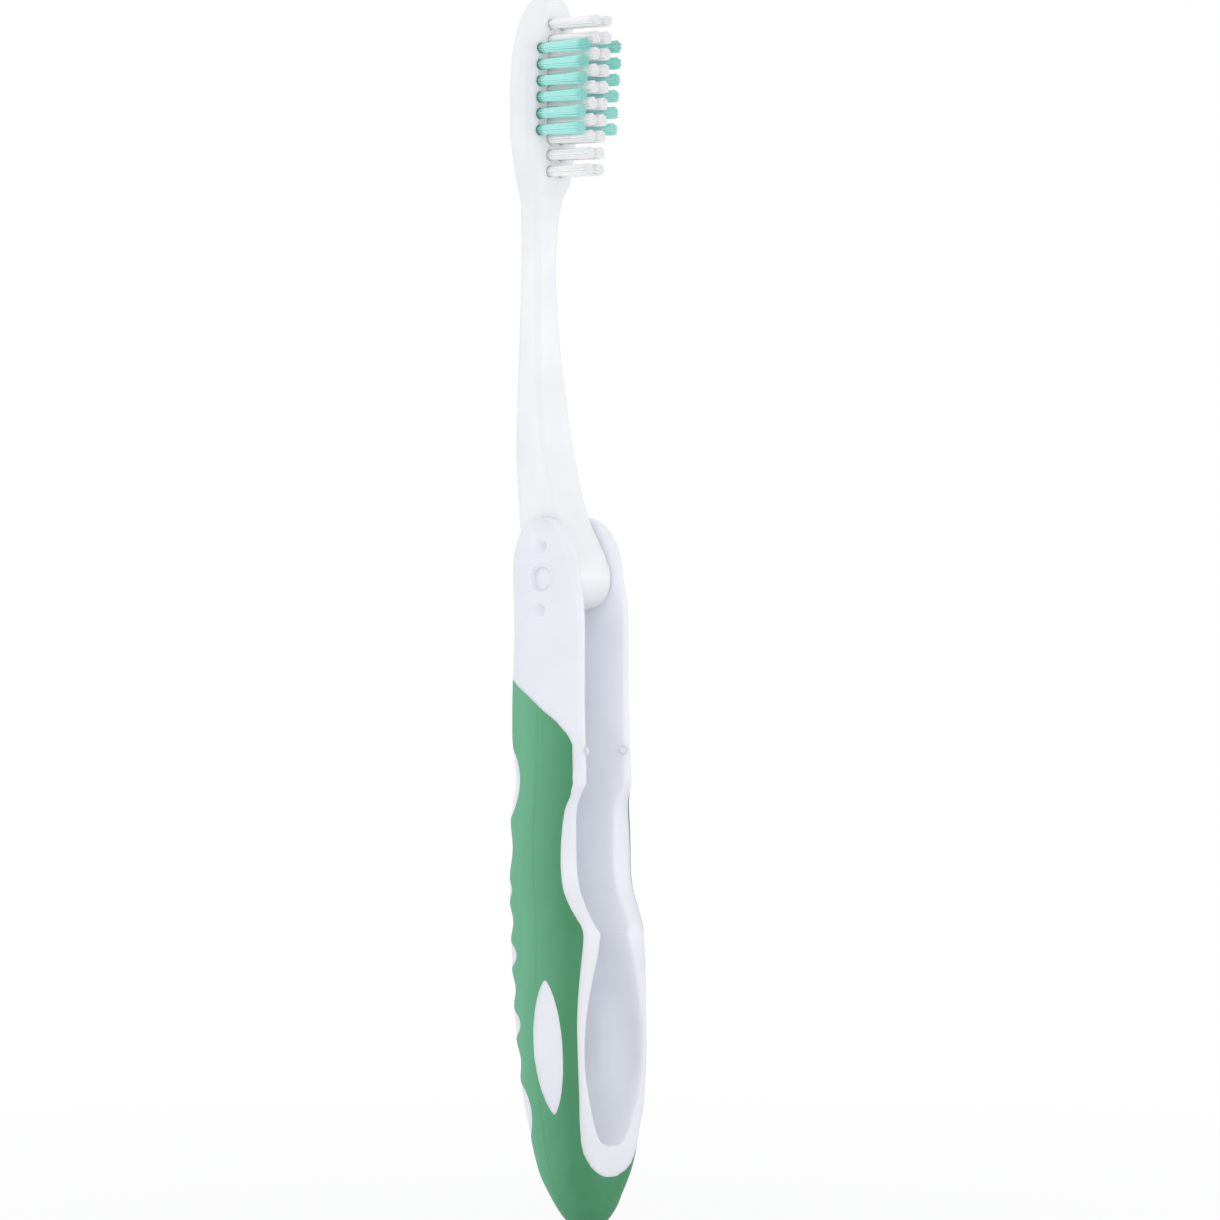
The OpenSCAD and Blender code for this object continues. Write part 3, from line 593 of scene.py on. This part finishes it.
def handle_section(z, outline):
    """Half a section of the white moulding: its inside and its outside."""
    if z > STOP_Z:
        inner, outer = ear_paths(z)
    else:
        inner = inner_path(z, outline)
        outer = section(z, inner[-1, 0], OUTER)
    return inner, outer[1:]


def hinge_marks(y, z, props):
    """Depth of the pin's hole and the dimples in the ears' sides."""
    hole, low_r, high_r = PIN_HOLE
    depth = hole * (1 - smooth(low_r, high_r, np.hypot(y, z - PIVOT_Z)))
    for rise in (-4.5, 4.5):
        d = np.hypot(y, z - PIVOT_Z - rise)
        depth = np.maximum(depth, props.dimple_depth / MM * (1 - smooth(0.3, 1.0, d)))
    return depth


def build_handle(props):
    """The white moulding: inside and outside in one loft, sunk under the cover and marked by the hinge."""
    outline, heights = pocket_outline(), handle_heights()
    rings = []
    for z in heights:
        inner, outer = handle_section(z, outline)
        rings.append(np.c_[np.vstack([inner, outer]), np.full(len(inner) + len(outer), z)])
    grid, n = np.array(rings), len(inner)
    rows, cols = grid.shape[:2]
    around = grid[..., 0].copy()
    around[:, n - 1:] = lengths(grid[:, n - 1:])
    under = smooth(0.05, 0.45, grip_distance(around, grid))
    # the recess's own faces aren't under the grip
    under[np.array(heights) > POCKET_LOW - 0.5, :n - 1] = 0
    grid[:, :, :2] += inward(grid, heights) * (under * CORE_DROP)[..., None]
    marks = hinge_marks(grid[..., 1], grid[..., 2], props) * (grid[..., 0] > SLOT_HALF + 0.6)
    marks[:, :n] = 0
    grid[:, :, 0] -= marks
    grid[:, :, 1] += PIVOT_Y
    faces = [tuple(f) for f in strip_faces(rows, cols)]
    above_stop = cols * next(i for i, z in enumerate(heights) if z > STOP_Z)
    # the butt, the middle of the stop web's top, and the ear's crown
    faces += [tuple(range(cols)), (above_stop - cols, above_stop - 1, above_stop),
              tuple(range((rows - 1) * cols + 1, rows * cols))]
    return mesh_object("moulded_handle", *mirrored(grid.reshape(-1, 3), faces))


def inward(grid, heights):
    """Unit normals of a grid's rings in their own planes, pointing in."""
    step = np.gradient(grid[:, :, :2], axis=1)
    normal = np.stack([-step[..., 1], step[..., 0]], -1)
    normal /= np.maximum(np.linalg.norm(normal, axis=-1, keepdims=True), 1e-9)
    to_middle = np.stack([-grid[..., 0], column(level_at, heights) - grid[..., 1]], -1)
    flip = np.sign((normal * to_middle).sum(-1))
    return normal * np.where(flip == 0, 1, flip)[..., None]


def column(value, heights):
    """A profile's values at the rings' heights, as a column."""
    return np.array([value(z) for z in heights])[:, None]


def snap_nub(side):
    """A small snap nub on the channel's wall."""
    n, m, z0 = 20, 17, CROWN_Z - 32.9
    x0, y0 = SLOT_HALF + 0.08, PIVOT_Y + front_at(z0) + 0.36
    points = []
    for a in np.radians(np.linspace(0, 180, m)):
        for b in 2 * math.pi * np.arange(n) / n:
            points.append((side * (x0 - 0.64 * math.cos(a)), y0 + 0.52 * math.sin(a) * math.cos(b),
                           z0 + 0.62 * math.sin(a) * math.sin(b)))
    return mesh_object("nub", points, ring_faces(m, n))


# ---- grip
def clip_grid(grid, value):
    """Quads of a grid where the value is above zero, cut along the line where it is zero."""
    rows, cols = value.shape
    points = [tuple(p) for p in grid.reshape(-1, 3)]
    v = value.ravel()
    cuts, faces = {}, []

    def crossing(a, b):
        key = (min(a, b), max(a, b))
        if key not in cuts:
            t = v[a] / (v[a] - v[b])
            p, q = np.array(points[a]), np.array(points[b])
            cuts[key] = len(points)
            points.append(tuple(p + (q - p) * t))
        return cuts[key]

    for f in strip_faces(rows, cols):
        inside = [v[i] > 0 for i in f]
        if not any(inside):
            continue
        if all(inside):
            faces.append(tuple(f))
            continue
        shape = []
        for k in range(4):
            a, b = f[k], f[(k + 1) % 4]
            if v[a] > 0:
                shape.append(a)
            if (v[a] > 0) != (v[b] > 0):
                shape.append(crossing(a, b))
        if len(shape) > 2:
            faces.append(tuple(shape))
    return points, faces


def build_grip(props):
    """The soft cover: a fine skin cut along its edges, rolled down there, and given its wall inwards."""
    heights = np.r_[BUTT * (1 - np.cos(np.radians(np.linspace(3, 88, 26)))),
                    np.arange(BUTT + 0.2, GRIP_TOP + 1.2, 0.38)]
    grid = np.array([np.c_[section(z, 0, COVER), np.full(sum(COVER), z)] for z in heights])
    d = grip_distance(lengths(grid), grid)
    level, back = column(level_at, heights), column(back_at, heights)
    # a rolled edge, and the mould's parting line down the side, which fades out on the butt
    roll = props.edge_roll / MM * (1 - np.sqrt(1 - (1 - np.clip(d / 0.3, 0, 1))**2)) - COVER_PROUD
    roll[:, SEAM] += SEAM_DEPTH * smooth(0.2, 0.8, d[:, SEAM]) * smooth(4, 9, heights)
    dips = column(dip_at, heights) * smooth(0, 0.6, d)
    dips *= smooth(0.25, 0.95, (grid[..., 1] - level) / (back - level))
    grid[:, :, :2] += inward(grid, heights) * (roll + dips)[..., None]
    grid[:, :, 1] += PIVOT_Y
    half_points, half_faces = clip_grid(grid, d)
    half_faces.append(tuple(range(grid.shape[1])))
    points, faces = mirrored(np.array(half_points), half_faces)
    used = sorted({i for f in faces for i in f})
    new = {old: i for i, old in enumerate(used)}
    obj = mesh_object("soft_grip", points[used], [tuple(new[i] for i in f) for f in faces])
    wall = obj.modifiers.new("wall", "SOLIDIFY")
    wall.thickness, wall.offset = COVER_WALL * MM, -1
    apply_modifiers(obj)
    finish_mesh(obj.data, 40, 1e-7)
    return obj


# ---- neck and head
def neck_values(rise):
    """Half width, front, back and level of the neck and head, at a height over the hinge axis."""
    past = min(1.0, max(0.0, rise - TIP_Z) / TIP_LEN)
    tip = max(0.03, (1 - past**2.5) ** 0.4)
    if rise < HEAD_Z:
        half, level, back, front = (size * float(curve(table, rise / HEAD_Z)) for size, table in (
            (NECK_W, NECK_HALF), (BACK, NECK_LEVEL), (BACK, NECK_BACK), (BACK, NECK_FRONT)))
    else:
        half, level, back = (size * float(curve(table, (rise - HEAD_Z) / HEAD_LEN)) for size, table in (
            (HEAD_W * tip, HEAD_HALF), (BACK, HEAD_LEVEL), (BACK, HEAD_BACK)))
        front = face_y(max(rise, FACE_Z))
        t = (rise - HEAD_Z) / (FACE_Z - HEAD_Z)
        if t < 1:
            front += (BACK * NECK_FRONT[-1][1] - front) * (1 - float(smooth(0, 1, t)))
    return half, level - (level - front) * tip**0.2, level + (back - level) * tip, level


def tipwards(rise):
    """How far along the bristle face a height is, from its heel to its tip."""
    return (rise - FACE_Z) / (HEAD_RISE - FACE_Z)


def face_y(rise):
    return FACE_HEEL_Y + (FACE_TIP_Y - FACE_HEEL_Y) * tipwards(rise)


def knuckle():
    """The rounded knuckle that turns between the ears."""
    r, w, edge = 4.4, SLOT_HALF - 0.3, 0.5
    arc = [(-w + edge - edge * math.cos(a), r - edge + edge * math.sin(a))
           for a in map(math.radians, np.linspace(0, 90, 6))]
    return turned("knuckle", [(-w, 0.0)] + arc, 72)


def build_neck():
    """The neck and head in one loft, with the knuckle added and the tufts' holes cut."""
    rises = [0.0, 0.6, 1.2, 1.8, 2.4, 3.0, FOOT_Z - 0.01, FOOT_Z, *np.arange(FOOT_Z + 0.3, TIP_Z, 0.45)]
    rises += [TIP_Z + TIP_LEN * math.sin(math.radians(a)) for a in np.linspace(0, 88, 34)]
    rings = []
    for rise in rises:
        half, front, back, level = neck_values(rise)
        if rise < FOOT_Z:
            level, back = 0.4, 0.8
        edge = min(1.0 - 0.2 * float(smooth(0, 8, HEAD_Z - rise)), half * 0.7)
        path = outer_path(half, half * 0.96, front, back, level, edge, 5.5, 0, NECK)
        rings.append(np.c_[path, np.full(len(path), PIVOT_Z + rise)])
    grid = np.array(rings)
    grid[:, :, 1] += PIVOT_Y
    rows, cols = grid.shape[:2]
    faces = [tuple(f) for f in strip_faces(rows, cols)]
    faces += [tuple(range(cols)), tuple(range((rows - 1) * cols, rows * cols))]
    obj = mesh_object("moulded_neck", *mirrored(grid.reshape(-1, 3), faces))
    cut(obj, knuckle(), "UNION")
    cut(obj, hole_cutter())
    finish_mesh(obj.data, 35, 1e-7)
    return obj


def hole_cutter():
    """Round holes with a small chamfer, one for each tuft."""
    points, faces, n = [], [], 24
    for name in WHITE_TUFTS + MINT_TUFTS:
        low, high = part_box(name)
        x, z, face = (low.x + high.x) / 2 / MM, (low.z + high.z) / 2 / MM, high.y / MM - HOLE_DEPTH
        rings = [(0.77, face + 2.2), (0.77, face + 0.06), (0.82, face), (0.92, face - 0.1)]
        base = len(points)
        points += [(x + r * math.cos(a), y, z + r * math.sin(a))
                   for r, y in rings for a in 2 * math.pi * np.arange(n) / n]
        faces += ring_faces(len(rings), n, base)
        faces += [tuple(range(base, base + n)), tuple(range(len(points) - n, len(points)))]
    return mesh_object("tuft_holes", points, faces)


# ---- bristles
def bristle_tree():
    """Filaments on each tuft's point: a golden-angle bundle that spreads and leans towards its tips."""
    tree = bpy.data.node_groups.new("bristle_bundle", "GeometryNodeTree")
    face = tree.interface
    face.new_socket("Geometry", in_out="OUTPUT", socket_type="NodeSocketGeometry")
    sockets = {name: face.new_socket(name, in_out="INPUT", socket_type="NodeSocket" + kind).identifier
               for name, kind in (("Geometry", "Geometry"), ("Filaments", "Int"), ("Bundle Radius", "Float"),
                                  ("Filament Diameter", "Float"), ("Spread", "Float"), ("Seed", "Int"),
                                  ("Material", "Material"))}
    start = add(tree, "NodeGroupInput").outputs
    points = add(tree, "GeometryNodeMeshToPoints", {"Mesh": start["Geometry"]})
    copies = add(tree, "GeometryNodeDuplicateElements", {"Geometry": points, "Amount": start["Filaments"]},
                 domain="POINT")
    number = copies.outputs["Duplicate Index"]
    # each filament's place in its bundle
    radius = number
    for operation, other in (("ADD", 0.5), ("DIVIDE", start["Filaments"]), ("SQRT", 0.0),
                             ("MULTIPLY", start["Bundle Radius"])):
        radius = add(tree, "ShaderNodeMath", {0: radius, 1: other}, operation=operation)
    angle = add(tree, "ShaderNodeMath", {0: number, 1: GOLDEN_ANGLE}, operation="MULTIPLY")
    across = {}
    for axis, turn in (("X", "COSINE"), ("Z", "SINE")):
        turn = add(tree, "ShaderNodeMath", {0: angle}, operation=turn)
        across[axis] = add(tree, "ShaderNodeMath", {0: radius, 1: turn}, operation="MULTIPLY")
    offset = add(tree, "ShaderNodeCombineXYZ", across)
    keep = add(tree, "GeometryNodeStoreNamedAttribute", {"Geometry": copies, "Name": "off", "Value": offset},
               data_type="FLOAT_VECTOR", domain="POINT")
    moved = add(tree, "GeometryNodeSetPosition", {"Geometry": keep, "Offset": offset})
    # one random lean for each filament
    wild = add(tree, "FunctionNodeRandomValue", {"Seed": start["Seed"], "Min": (-0.035 * MM,) * 3,
                                                 "Max": (0.035 * MM,) * 3}, data_type="FLOAT_VECTOR")
    marked = add(tree, "GeometryNodeStoreNamedAttribute", {"Geometry": moved, "Name": "wild",
                                                           "Value": wild.outputs["Value"]},
                 data_type="FLOAT_VECTOR", domain="POINT")
    read = {name: add(tree, "GeometryNodeInputNamedAttribute", {"Name": name}, data_type=kind).outputs["Attribute"]
            for name, kind in (("reach", "FLOAT"), ("root", "FLOAT"), ("growth", "FLOAT"), ("off", "FLOAT_VECTOR"),
                               ("wild", "FLOAT_VECTOR"))}
    jitter = add(tree, "FunctionNodeRandomValue", {"Min": 0.985, "Max": 1.0, "Seed": start["Seed"]},
                 data_type="FLOAT").outputs["Value"]
    length = add(tree, "ShaderNodeMath", {0: read["reach"], 1: jitter}, operation="MULTIPLY")
    size = add(tree, "ShaderNodeCombineXYZ", {"X": start["Filament Diameter"], "Y": start["Filament Diameter"],
                                              "Z": length})
    rod = add(tree, "GeometryNodeMeshCylinder", {"Vertices": 5, "Side Segments": 5, "Radius": 0.5, "Depth": 1.0},
              fill_type="TRIANGLE_FAN")
    stand = add(tree, "GeometryNodeTransform", {"Geometry": rod, "Translation": (0, 0, 0.5)})
    put = add(tree, "GeometryNodeInstanceOnPoints", {"Points": marked, "Instance": stand,
                                                     "Rotation": (math.radians(90), 0, 0), "Scale": size})
    real = add(tree, "GeometryNodeRealizeInstances", {"Geometry": put})
    # bend: each filament leans away from its bundle's middle as it rises from the face
    place = add(tree, "GeometryNodeInputPosition")
    y = add(tree, "ShaderNodeSeparateXYZ", {"Vector": place}).outputs["Y"]
    rise = add(tree, "ShaderNodeMath", {0: read["root"], 1: y}, operation="SUBTRACT")
    for operation, other in (("DIVIDE", TUFT_RISE * MM), ("MAXIMUM", 0.0), ("POWER", 1.5)):
        rise = add(tree, "ShaderNodeMath", {0: rise, 1: other}, operation=operation)
    spread = add(tree, "ShaderNodeMath", {0: rise, 1: start["Spread"]}, operation="MULTIPLY")
    spread = add(tree, "ShaderNodeMath", {0: spread, 1: read["growth"]}, operation="MULTIPLY")
    lean = add(tree, "ShaderNodeVectorMath", {0: read["off"], "Scale": spread}, operation="SCALE")
    noise = add(tree, "ShaderNodeVectorMath", {0: read["wild"], "Scale": rise}, operation="SCALE")
    both = add(tree, "ShaderNodeVectorMath", {0: lean, 1: noise}, operation="ADD")
    bent = add(tree, "GeometryNodeSetPosition", {"Geometry": real, "Offset": both})
    smoothed = add(tree, "GeometryNodeSetShadeSmooth", {"Geometry": bent})
    dressed = add(tree, "GeometryNodeSetMaterial", {"Geometry": smoothed, "Material": start["Material"]})
    add(tree, "NodeGroupOutput", {"Geometry": dressed})
    return tree, sockets


def build_bristles(name, tufts, mat, props):
    """One piece of plain filaments for all the tufts of a colour."""
    points, values = [], {"reach": [], "root": [], "growth": []}
    for t in tufts:
        low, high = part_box(t)
        face = high.y - HOLE_DEPTH * MM
        # filaments start 1.2 mm inside their hole
        points.append(((low.x + high.x) / 2, face + 1.2 * MM, (low.z + high.z) / 2))
        z = points[-1][2] / MM
        values["reach"].append((face + 1.2 * MM - low.y) * (0.908 + 0.035 * tipwards(z - PIVOT_Z)))
        values["root"].append(face)
        # the last tufts at the head's tip stay narrow, so that they fold into the pocket's round end
        values["growth"].append(0.15 if HEAD_TOP - z < 5 else 0.87)
    mesh = bpy.data.meshes.new(name)
    mesh.from_pydata(points, [], [])
    for key, row in values.items():
        mesh.attributes.new(key, "FLOAT", "POINT").data.foreach_set("value", row)
    obj = bpy.data.objects.new(name, mesh)
    bpy.context.scene.collection.objects.link(obj)
    mod = obj.modifiers.new("bristles", "NODES")
    mod.node_group, sockets = bristle_tree()
    for socket, value in (("Filaments", props.filaments), ("Bundle Radius", props.bundle_radius),
                          ("Filament Diameter", props.diameter), ("Spread", props.spread), ("Seed", props.seed),
                          ("Material", mat)):
        mod[sockets[socket]] = value
    return apply_modifiers(obj)


# ---- settings
class ToothbrushHandle(bpy.types.PropertyGroup):
    white: bpy.props.FloatVectorProperty(name="White", description="Colour of the handle's moulding",
                                         default=linear("#eef0f6")[:3], subtype="COLOR", min=0, max=1)
    dimple_depth: bpy.props.FloatProperty(name="Dimple depth", description="Depth of the dimples by the hinge",
                                          default=0.85 * MM, min=0, max=1.0 * MM, unit="LENGTH")


class ToothbrushGrip(bpy.types.PropertyGroup):
    green: bpy.props.FloatVectorProperty(name="Green", description="Colour of the soft cover",
                                         default=linear("#57a076")[:3], subtype="COLOR", min=0, max=1)
    edge_roll: bpy.props.FloatProperty(name="Edge roll", description="How far the cover's edge rolls down",
                                       default=0.06 * MM, min=0, max=0.3 * MM, unit="LENGTH")


class ToothbrushBristles(bpy.types.PropertyGroup):
    filaments: bpy.props.IntProperty(name="Filaments", description="Filaments in a tuft", default=54, min=12, max=60)
    bundle_radius: bpy.props.FloatProperty(name="Bundle radius", description="Radius of a tuft at its root",
                                           default=0.64 * MM, min=0.4 * MM, max=0.8 * MM, unit="LENGTH")
    diameter: bpy.props.FloatProperty(name="Diameter", description="Diameter of a filament",
                                      default=0.22 * MM, min=0.1 * MM, max=0.25 * MM, unit="LENGTH")
    spread: bpy.props.FloatProperty(name="Spread", description="Growth of a tuft towards its tips",
                                    default=0.38, min=0, max=0.5, subtype="FACTOR")
    seed: bpy.props.IntProperty(name="Seed", description="Seed of the filaments' small differences", default=3)


class ToothbrushStage(bpy.types.PropertyGroup):
    lamp_power: bpy.props.FloatProperty(name="Lamp power", description="Share of the soft lamps' power",
                                        default=1.0, min=0, max=4, subtype="FACTOR")


# ---- operators
class TOOTHBRUSH_OT_handle(bpy.types.Operator):
    """White handle moulding with its recess, ears and snap nubs"""
    bl_idname = "toothbrush.handle"
    bl_label = "Handle"

    def execute(self, context):
        props = context.scene.toothbrush_handle
        obj = build_handle(props)
        for side in (-1, 1):
            join(obj, snap_nub(side))
        cover(obj, white_moulding("polypropylene_moulded_white", (*props.white, 1), 0.4, 0.15))
        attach(obj, "handle")
        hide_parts("handle_body")
        return {"FINISHED"}


class TOOTHBRUSH_OT_grip(bpy.types.Operator):
    """Soft green cover over the back, sides and butt"""
    bl_idname = "toothbrush.grip"
    bl_label = "Grip"

    def execute(self, context):
        props = context.scene.toothbrush_grip
        obj = build_grip(props)
        # moulded elastomer: a matt skin, with grains about 0.2 mm apart that break up the light
        m, tree, bsdf, where = material("tpe_overmoulded_green", (*props.green, 1), {"Roughness": 0.6, "IOR": 1.45})
        grain = add(tree, "ShaderNodeTexNoise", {"Vector": where, "Scale": 1 / (0.22 * MM), "Detail": 3.0})
        # painted sheen and shade: the green is painted darker by the rims and lighter and hazier towards the back,
        # where light falls from behind; clouds some 6 mm across break up where it changes
        cloud = add(tree, "ShaderNodeTexNoise", {"Vector": where, "Scale": 1 / (6 * MM), "Detail": 5.0})
        depth = add(tree, "ShaderNodeSeparateXYZ", {"Vector": where}).outputs["Y"]
        sheen_depth = add(tree, "ShaderNodeMath", {0: cloud, 1: 2 * MM, 2: depth}, operation="MULTIPLY_ADD")
        painted_sheen = add(tree, "ShaderNodeMapRange", {"Value": sheen_depth, "From Min": -5 * MM, "From Max": 4 * MM})
        ramp = add(tree, "ShaderNodeValToRGB", {"Fac": painted_sheen})
        stops = ramp.color_ramp.elements
        # the front stop is painted shade, the back stop is painted sheen
        stops[0].color, stops[1].color = linear("#428d60"), linear("#69b38c")
        stops.new(0.45).color = (*props.green, 1)
        bump = add(tree, "ShaderNodeBump", {"Height": grain, "Strength": 0.35, "Distance": 0.03 * MM})
        wire(tree, bsdf, {"Base Color": ramp, "Normal": bump})
        cover(obj, m)
        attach(obj, "handle")
        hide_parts("grip_cover")
        return {"FINISHED"}


class TOOTHBRUSH_OT_neck(bpy.types.Operator):
    """Neck and head moulding with its knuckle and tuft holes"""
    bl_idname = "toothbrush.neck"
    bl_label = "Neck and head"

    def execute(self, context):
        obj = build_neck()
        cover(obj, white_moulding("polypropylene_moulded_neck", linear("#f3f4f7"), 0.4, 0.12))
        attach(obj, "head")
        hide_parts("neck_head")
        return {"FINISHED"}


class TOOTHBRUSH_OT_pin(bpy.types.Operator):
    """Hinge pin with rounded ends, and the brass strips under the tufts"""
    bl_idname = "toothbrush.pin"
    bl_label = "Pin and strips"

    def execute(self, context):
        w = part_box("hinge_pin")[1].x / MM
        obj = turned("pressed_pin", [(w - 0.66, 0.0), (w - 0.67, 1.3), (w - 0.7, 1.54), (w - 0.78, 1.62)], 64)
        # turned acetal has the same satin white as the mouldings, a little denser
        cover(obj, white_moulding("acetal_turned_pin", linear("#eef1f7"), 0.2, 0.2))
        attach(obj, "handle")
        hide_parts("hinge_pin")
        # rolled brass: a warm gloss broken by fine lines, 0.05 mm apart and 0.6 mm long across the head
        brass, tree, bsdf, where = material("brass_rolled_strip", linear("#c9b37a"), {"Metallic": 1.0,
                                                                                      "Roughness": 0.3})
        stretch = add(tree, "ShaderNodeMapping", {"Vector": where, "Scale": (1, 12, 12)})
        lines = add(tree, "ShaderNodeTexNoise", {"Vector": stretch, "Scale": 1 / (0.6 * MM)})
        rough = add(tree, "ShaderNodeMapRange", {"Value": lines, "To Min": 0.22, "To Max": 0.4})
        wire(tree, bsdf, {"Roughness": rough})
        cover(frame["nodes"]["tuft_anchors"], brass)
        return {"FINISHED"}


class TOOTHBRUSH_OT_bristles(bpy.types.Operator):
    """White and mint green nylon bristles"""
    bl_idname = "toothbrush.bristles"
    bl_label = "Bristles"

    def execute(self, context):
        props = context.scene.toothbrush_bristles
        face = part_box("mint_tuft_left_1")[1].y - HOLE_DEPTH * MM
        for name, tufts, (root, shaft, tip), slot in (
                ("mint_bristles", MINT_TUFTS, ("#63b6a6", "#bbfaf3", "#97e3d7"), "mint_bristle"),
                ("white_bristles", WHITE_TUFTS, ("#f2f4f8", "#ffffff", "#fafbfd"), "white_bristle")):
            # drawn nylon: smooth and faintly glossy, with painted shade: darker where it leaves the head and by its
            # tips
            m, tree, bsdf, where = material("nylon_drawn_" + name.split("_")[0], linear(shaft),
                                            {"Roughness": 0.45, "IOR": 1.4})
            y = add(tree, "ShaderNodeSeparateXYZ", {"Vector": where}).outputs["Y"]
            along = add(tree, "ShaderNodeMapRange", {"Value": y, "From Min": face, "From Max": face - TUFT_RISE * MM})
            ramp = add(tree, "ShaderNodeValToRGB", {"Fac": along})
            stops = ramp.color_ramp.elements
            # the root and tip colours are painted shade in the tufts
            stops[0].color, stops[1].color = linear(root), linear(tip)
            stops.new(0.16).color = stops.new(0.85).color = linear(shaft)
            wire(tree, bsdf, {"Base Color": ramp})
            obj = build_bristles(name, tufts, m, props)
            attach(obj, "head")
            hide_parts(*tufts)
        return {"FINISHED"}


class TOOTHBRUSH_OT_stage(bpy.types.Operator):
    """Plain white floor, soft lamps and the camera"""
    bl_idname = "toothbrush.stage"
    bl_label = "Stage"

    def execute(self, context):
        scene, target = context.scene, Vector((3.775, -3.775, 87.7)) * MM

        def aim(obj, place):
            """Stands a lamp or the camera at a place, turned to the middle of the view."""
            scene.collection.objects.link(obj)
            obj.location = place
            obj.rotation_euler = (target - obj.location).to_track_quat("-Z", "Y").to_euler()

        half, low = 6000, -0.05
        floor = mesh_object("floor", [(-half, -half, low), (half, -half, low), (half, half, low), (-half, half, low)],
                            [(0, 1, 2, 3)])
        m = bpy.data.materials.new("paper_matt_white")
        world = scene.world = bpy.data.worlds.new("studio")
        seen = []
        for place in (m, world):
            place.use_nodes = True
            tree = place.node_tree
            tree.nodes.clear()
            rays = add(tree, "ShaderNodeLightPath").outputs
            ray = rays["Is Camera Ray"]
            for kind in ("Is Glossy Ray", "Is Transmission Ray"):
                ray = add(tree, "ShaderNodeMath", {0: ray, 1: rays[kind]}, operation="MAXIMUM").outputs[0]
            seen.append((tree, ray))
        # matt paper, which keeps a soft shadow by the object and turns to plain white further out
        tree, ray = seen[0]
        where = add(tree, "ShaderNodeTexCoord").outputs["Object"]
        far = add(tree, "ShaderNodeVectorMath", {0: where}, operation="LENGTH").outputs["Value"]
        plain = add(tree, "ShaderNodeMapRange", {"Value": far, "From Min": 60 * MM, "From Max": 300 * MM,
                                                 "To Min": 0.85, "To Max": 1.0})
        part = add(tree, "ShaderNodeMath", {0: ray, 1: plain}, operation="MULTIPLY")
        paper = add(tree, "ShaderNodeBsdfDiffuse", {"Color": linear("#f4f5f7")})
        glow = add(tree, "ShaderNodeEmission", {"Color": (1, 1, 1, 1), "Strength": 1.0})
        mix = add(tree, "ShaderNodeMixShader", {0: part, 1: paper, 2: glow})
        add(tree, "ShaderNodeOutputMaterial", {"Surface": mix})
        cover(floor, m)
        # a plain sky, which the camera sees as white
        tree, ray = seen[1]
        plain = add(tree, "ShaderNodeBackground", {"Color": linear("#f8f8f9"), "Strength": 0.885})
        white = add(tree, "ShaderNodeBackground", {"Color": (1, 1, 1, 1), "Strength": 1.0})
        mix = add(tree, "ShaderNodeMixShader", {0: ray, 1: plain, 2: white})
        add(tree, "ShaderNodeOutputWorld", {"Surface": mix})
        # big soft lamps: one by the camera, which throws the shadows, and a fill at each side of the view
        for name, place, power in (("front", (-560, -560, 150), 0.64), ("left", (-640, 480, 200), 0.5),
                                   ("right", (480, -640, 200), 0.6)):
            lamp = bpy.data.lights.new(name, "AREA")
            lamp.shape, lamp.size = "SQUARE", 300 * MM
            lamp.energy, lamp.use_shadow = power * scene.toothbrush_stage.lamp_power, name == "front"
            aim(bpy.data.objects.new(name, lamp), Vector(place) * MM)
        cam = bpy.data.cameras.new("camera")
        cam.lens, cam.sensor_width, cam.clip_end = 200, 36, 100
        scene.camera = bpy.data.objects.new("camera", cam)
        aim(scene.camera, target + Vector((-1, -1, 0)).normalized() * 958.7 * MM)
        scene.view_settings.view_transform = "Standard"
        return {"FINISHED"}


class TOOTHBRUSH_PT_panel(bpy.types.Panel):
    """The pieces with their sizes and colours"""
    bl_label = "Toothbrush"
    bl_idname = "TOOTHBRUSH_PT_panel"
    bl_space_type = "VIEW_3D"
    bl_region_type = "UI"
    bl_category = "Toothbrush"

    def draw(self, context):
        for name, group in GROUPS.items():
            box = self.layout.box()
            for key in group.__annotations__:
                box.prop(getattr(context.scene, name), key)
            box.operator(name.replace("_", "."))
        self.layout.operator("toothbrush.neck")
        self.layout.operator("toothbrush.pin")


GROUPS = {"toothbrush_handle": ToothbrushHandle, "toothbrush_grip": ToothbrushGrip,
          "toothbrush_bristles": ToothbrushBristles, "toothbrush_stage": ToothbrushStage}
CLASSES = (*GROUPS.values(), TOOTHBRUSH_OT_handle, TOOTHBRUSH_OT_grip, TOOTHBRUSH_OT_neck, TOOTHBRUSH_OT_pin,
           TOOTHBRUSH_OT_bristles, TOOTHBRUSH_OT_stage, TOOTHBRUSH_PT_panel)


def register():
    for c in CLASSES:
        bpy.utils.register_class(c)
    for name, group in GROUPS.items():
        setattr(bpy.types.Scene, name, bpy.props.PointerProperty(type=group))


def unregister():
    for name in GROUPS:
        delattr(bpy.types.Scene, name)
    for c in reversed(CLASSES):
        bpy.utils.unregister_class(c)


def main():
    register()
    for name in ("handle", "grip", "neck", "pin", "bristles", "stage"):
        getattr(bpy.ops.toothbrush, name)()


if __name__ == "__main__":
    main()
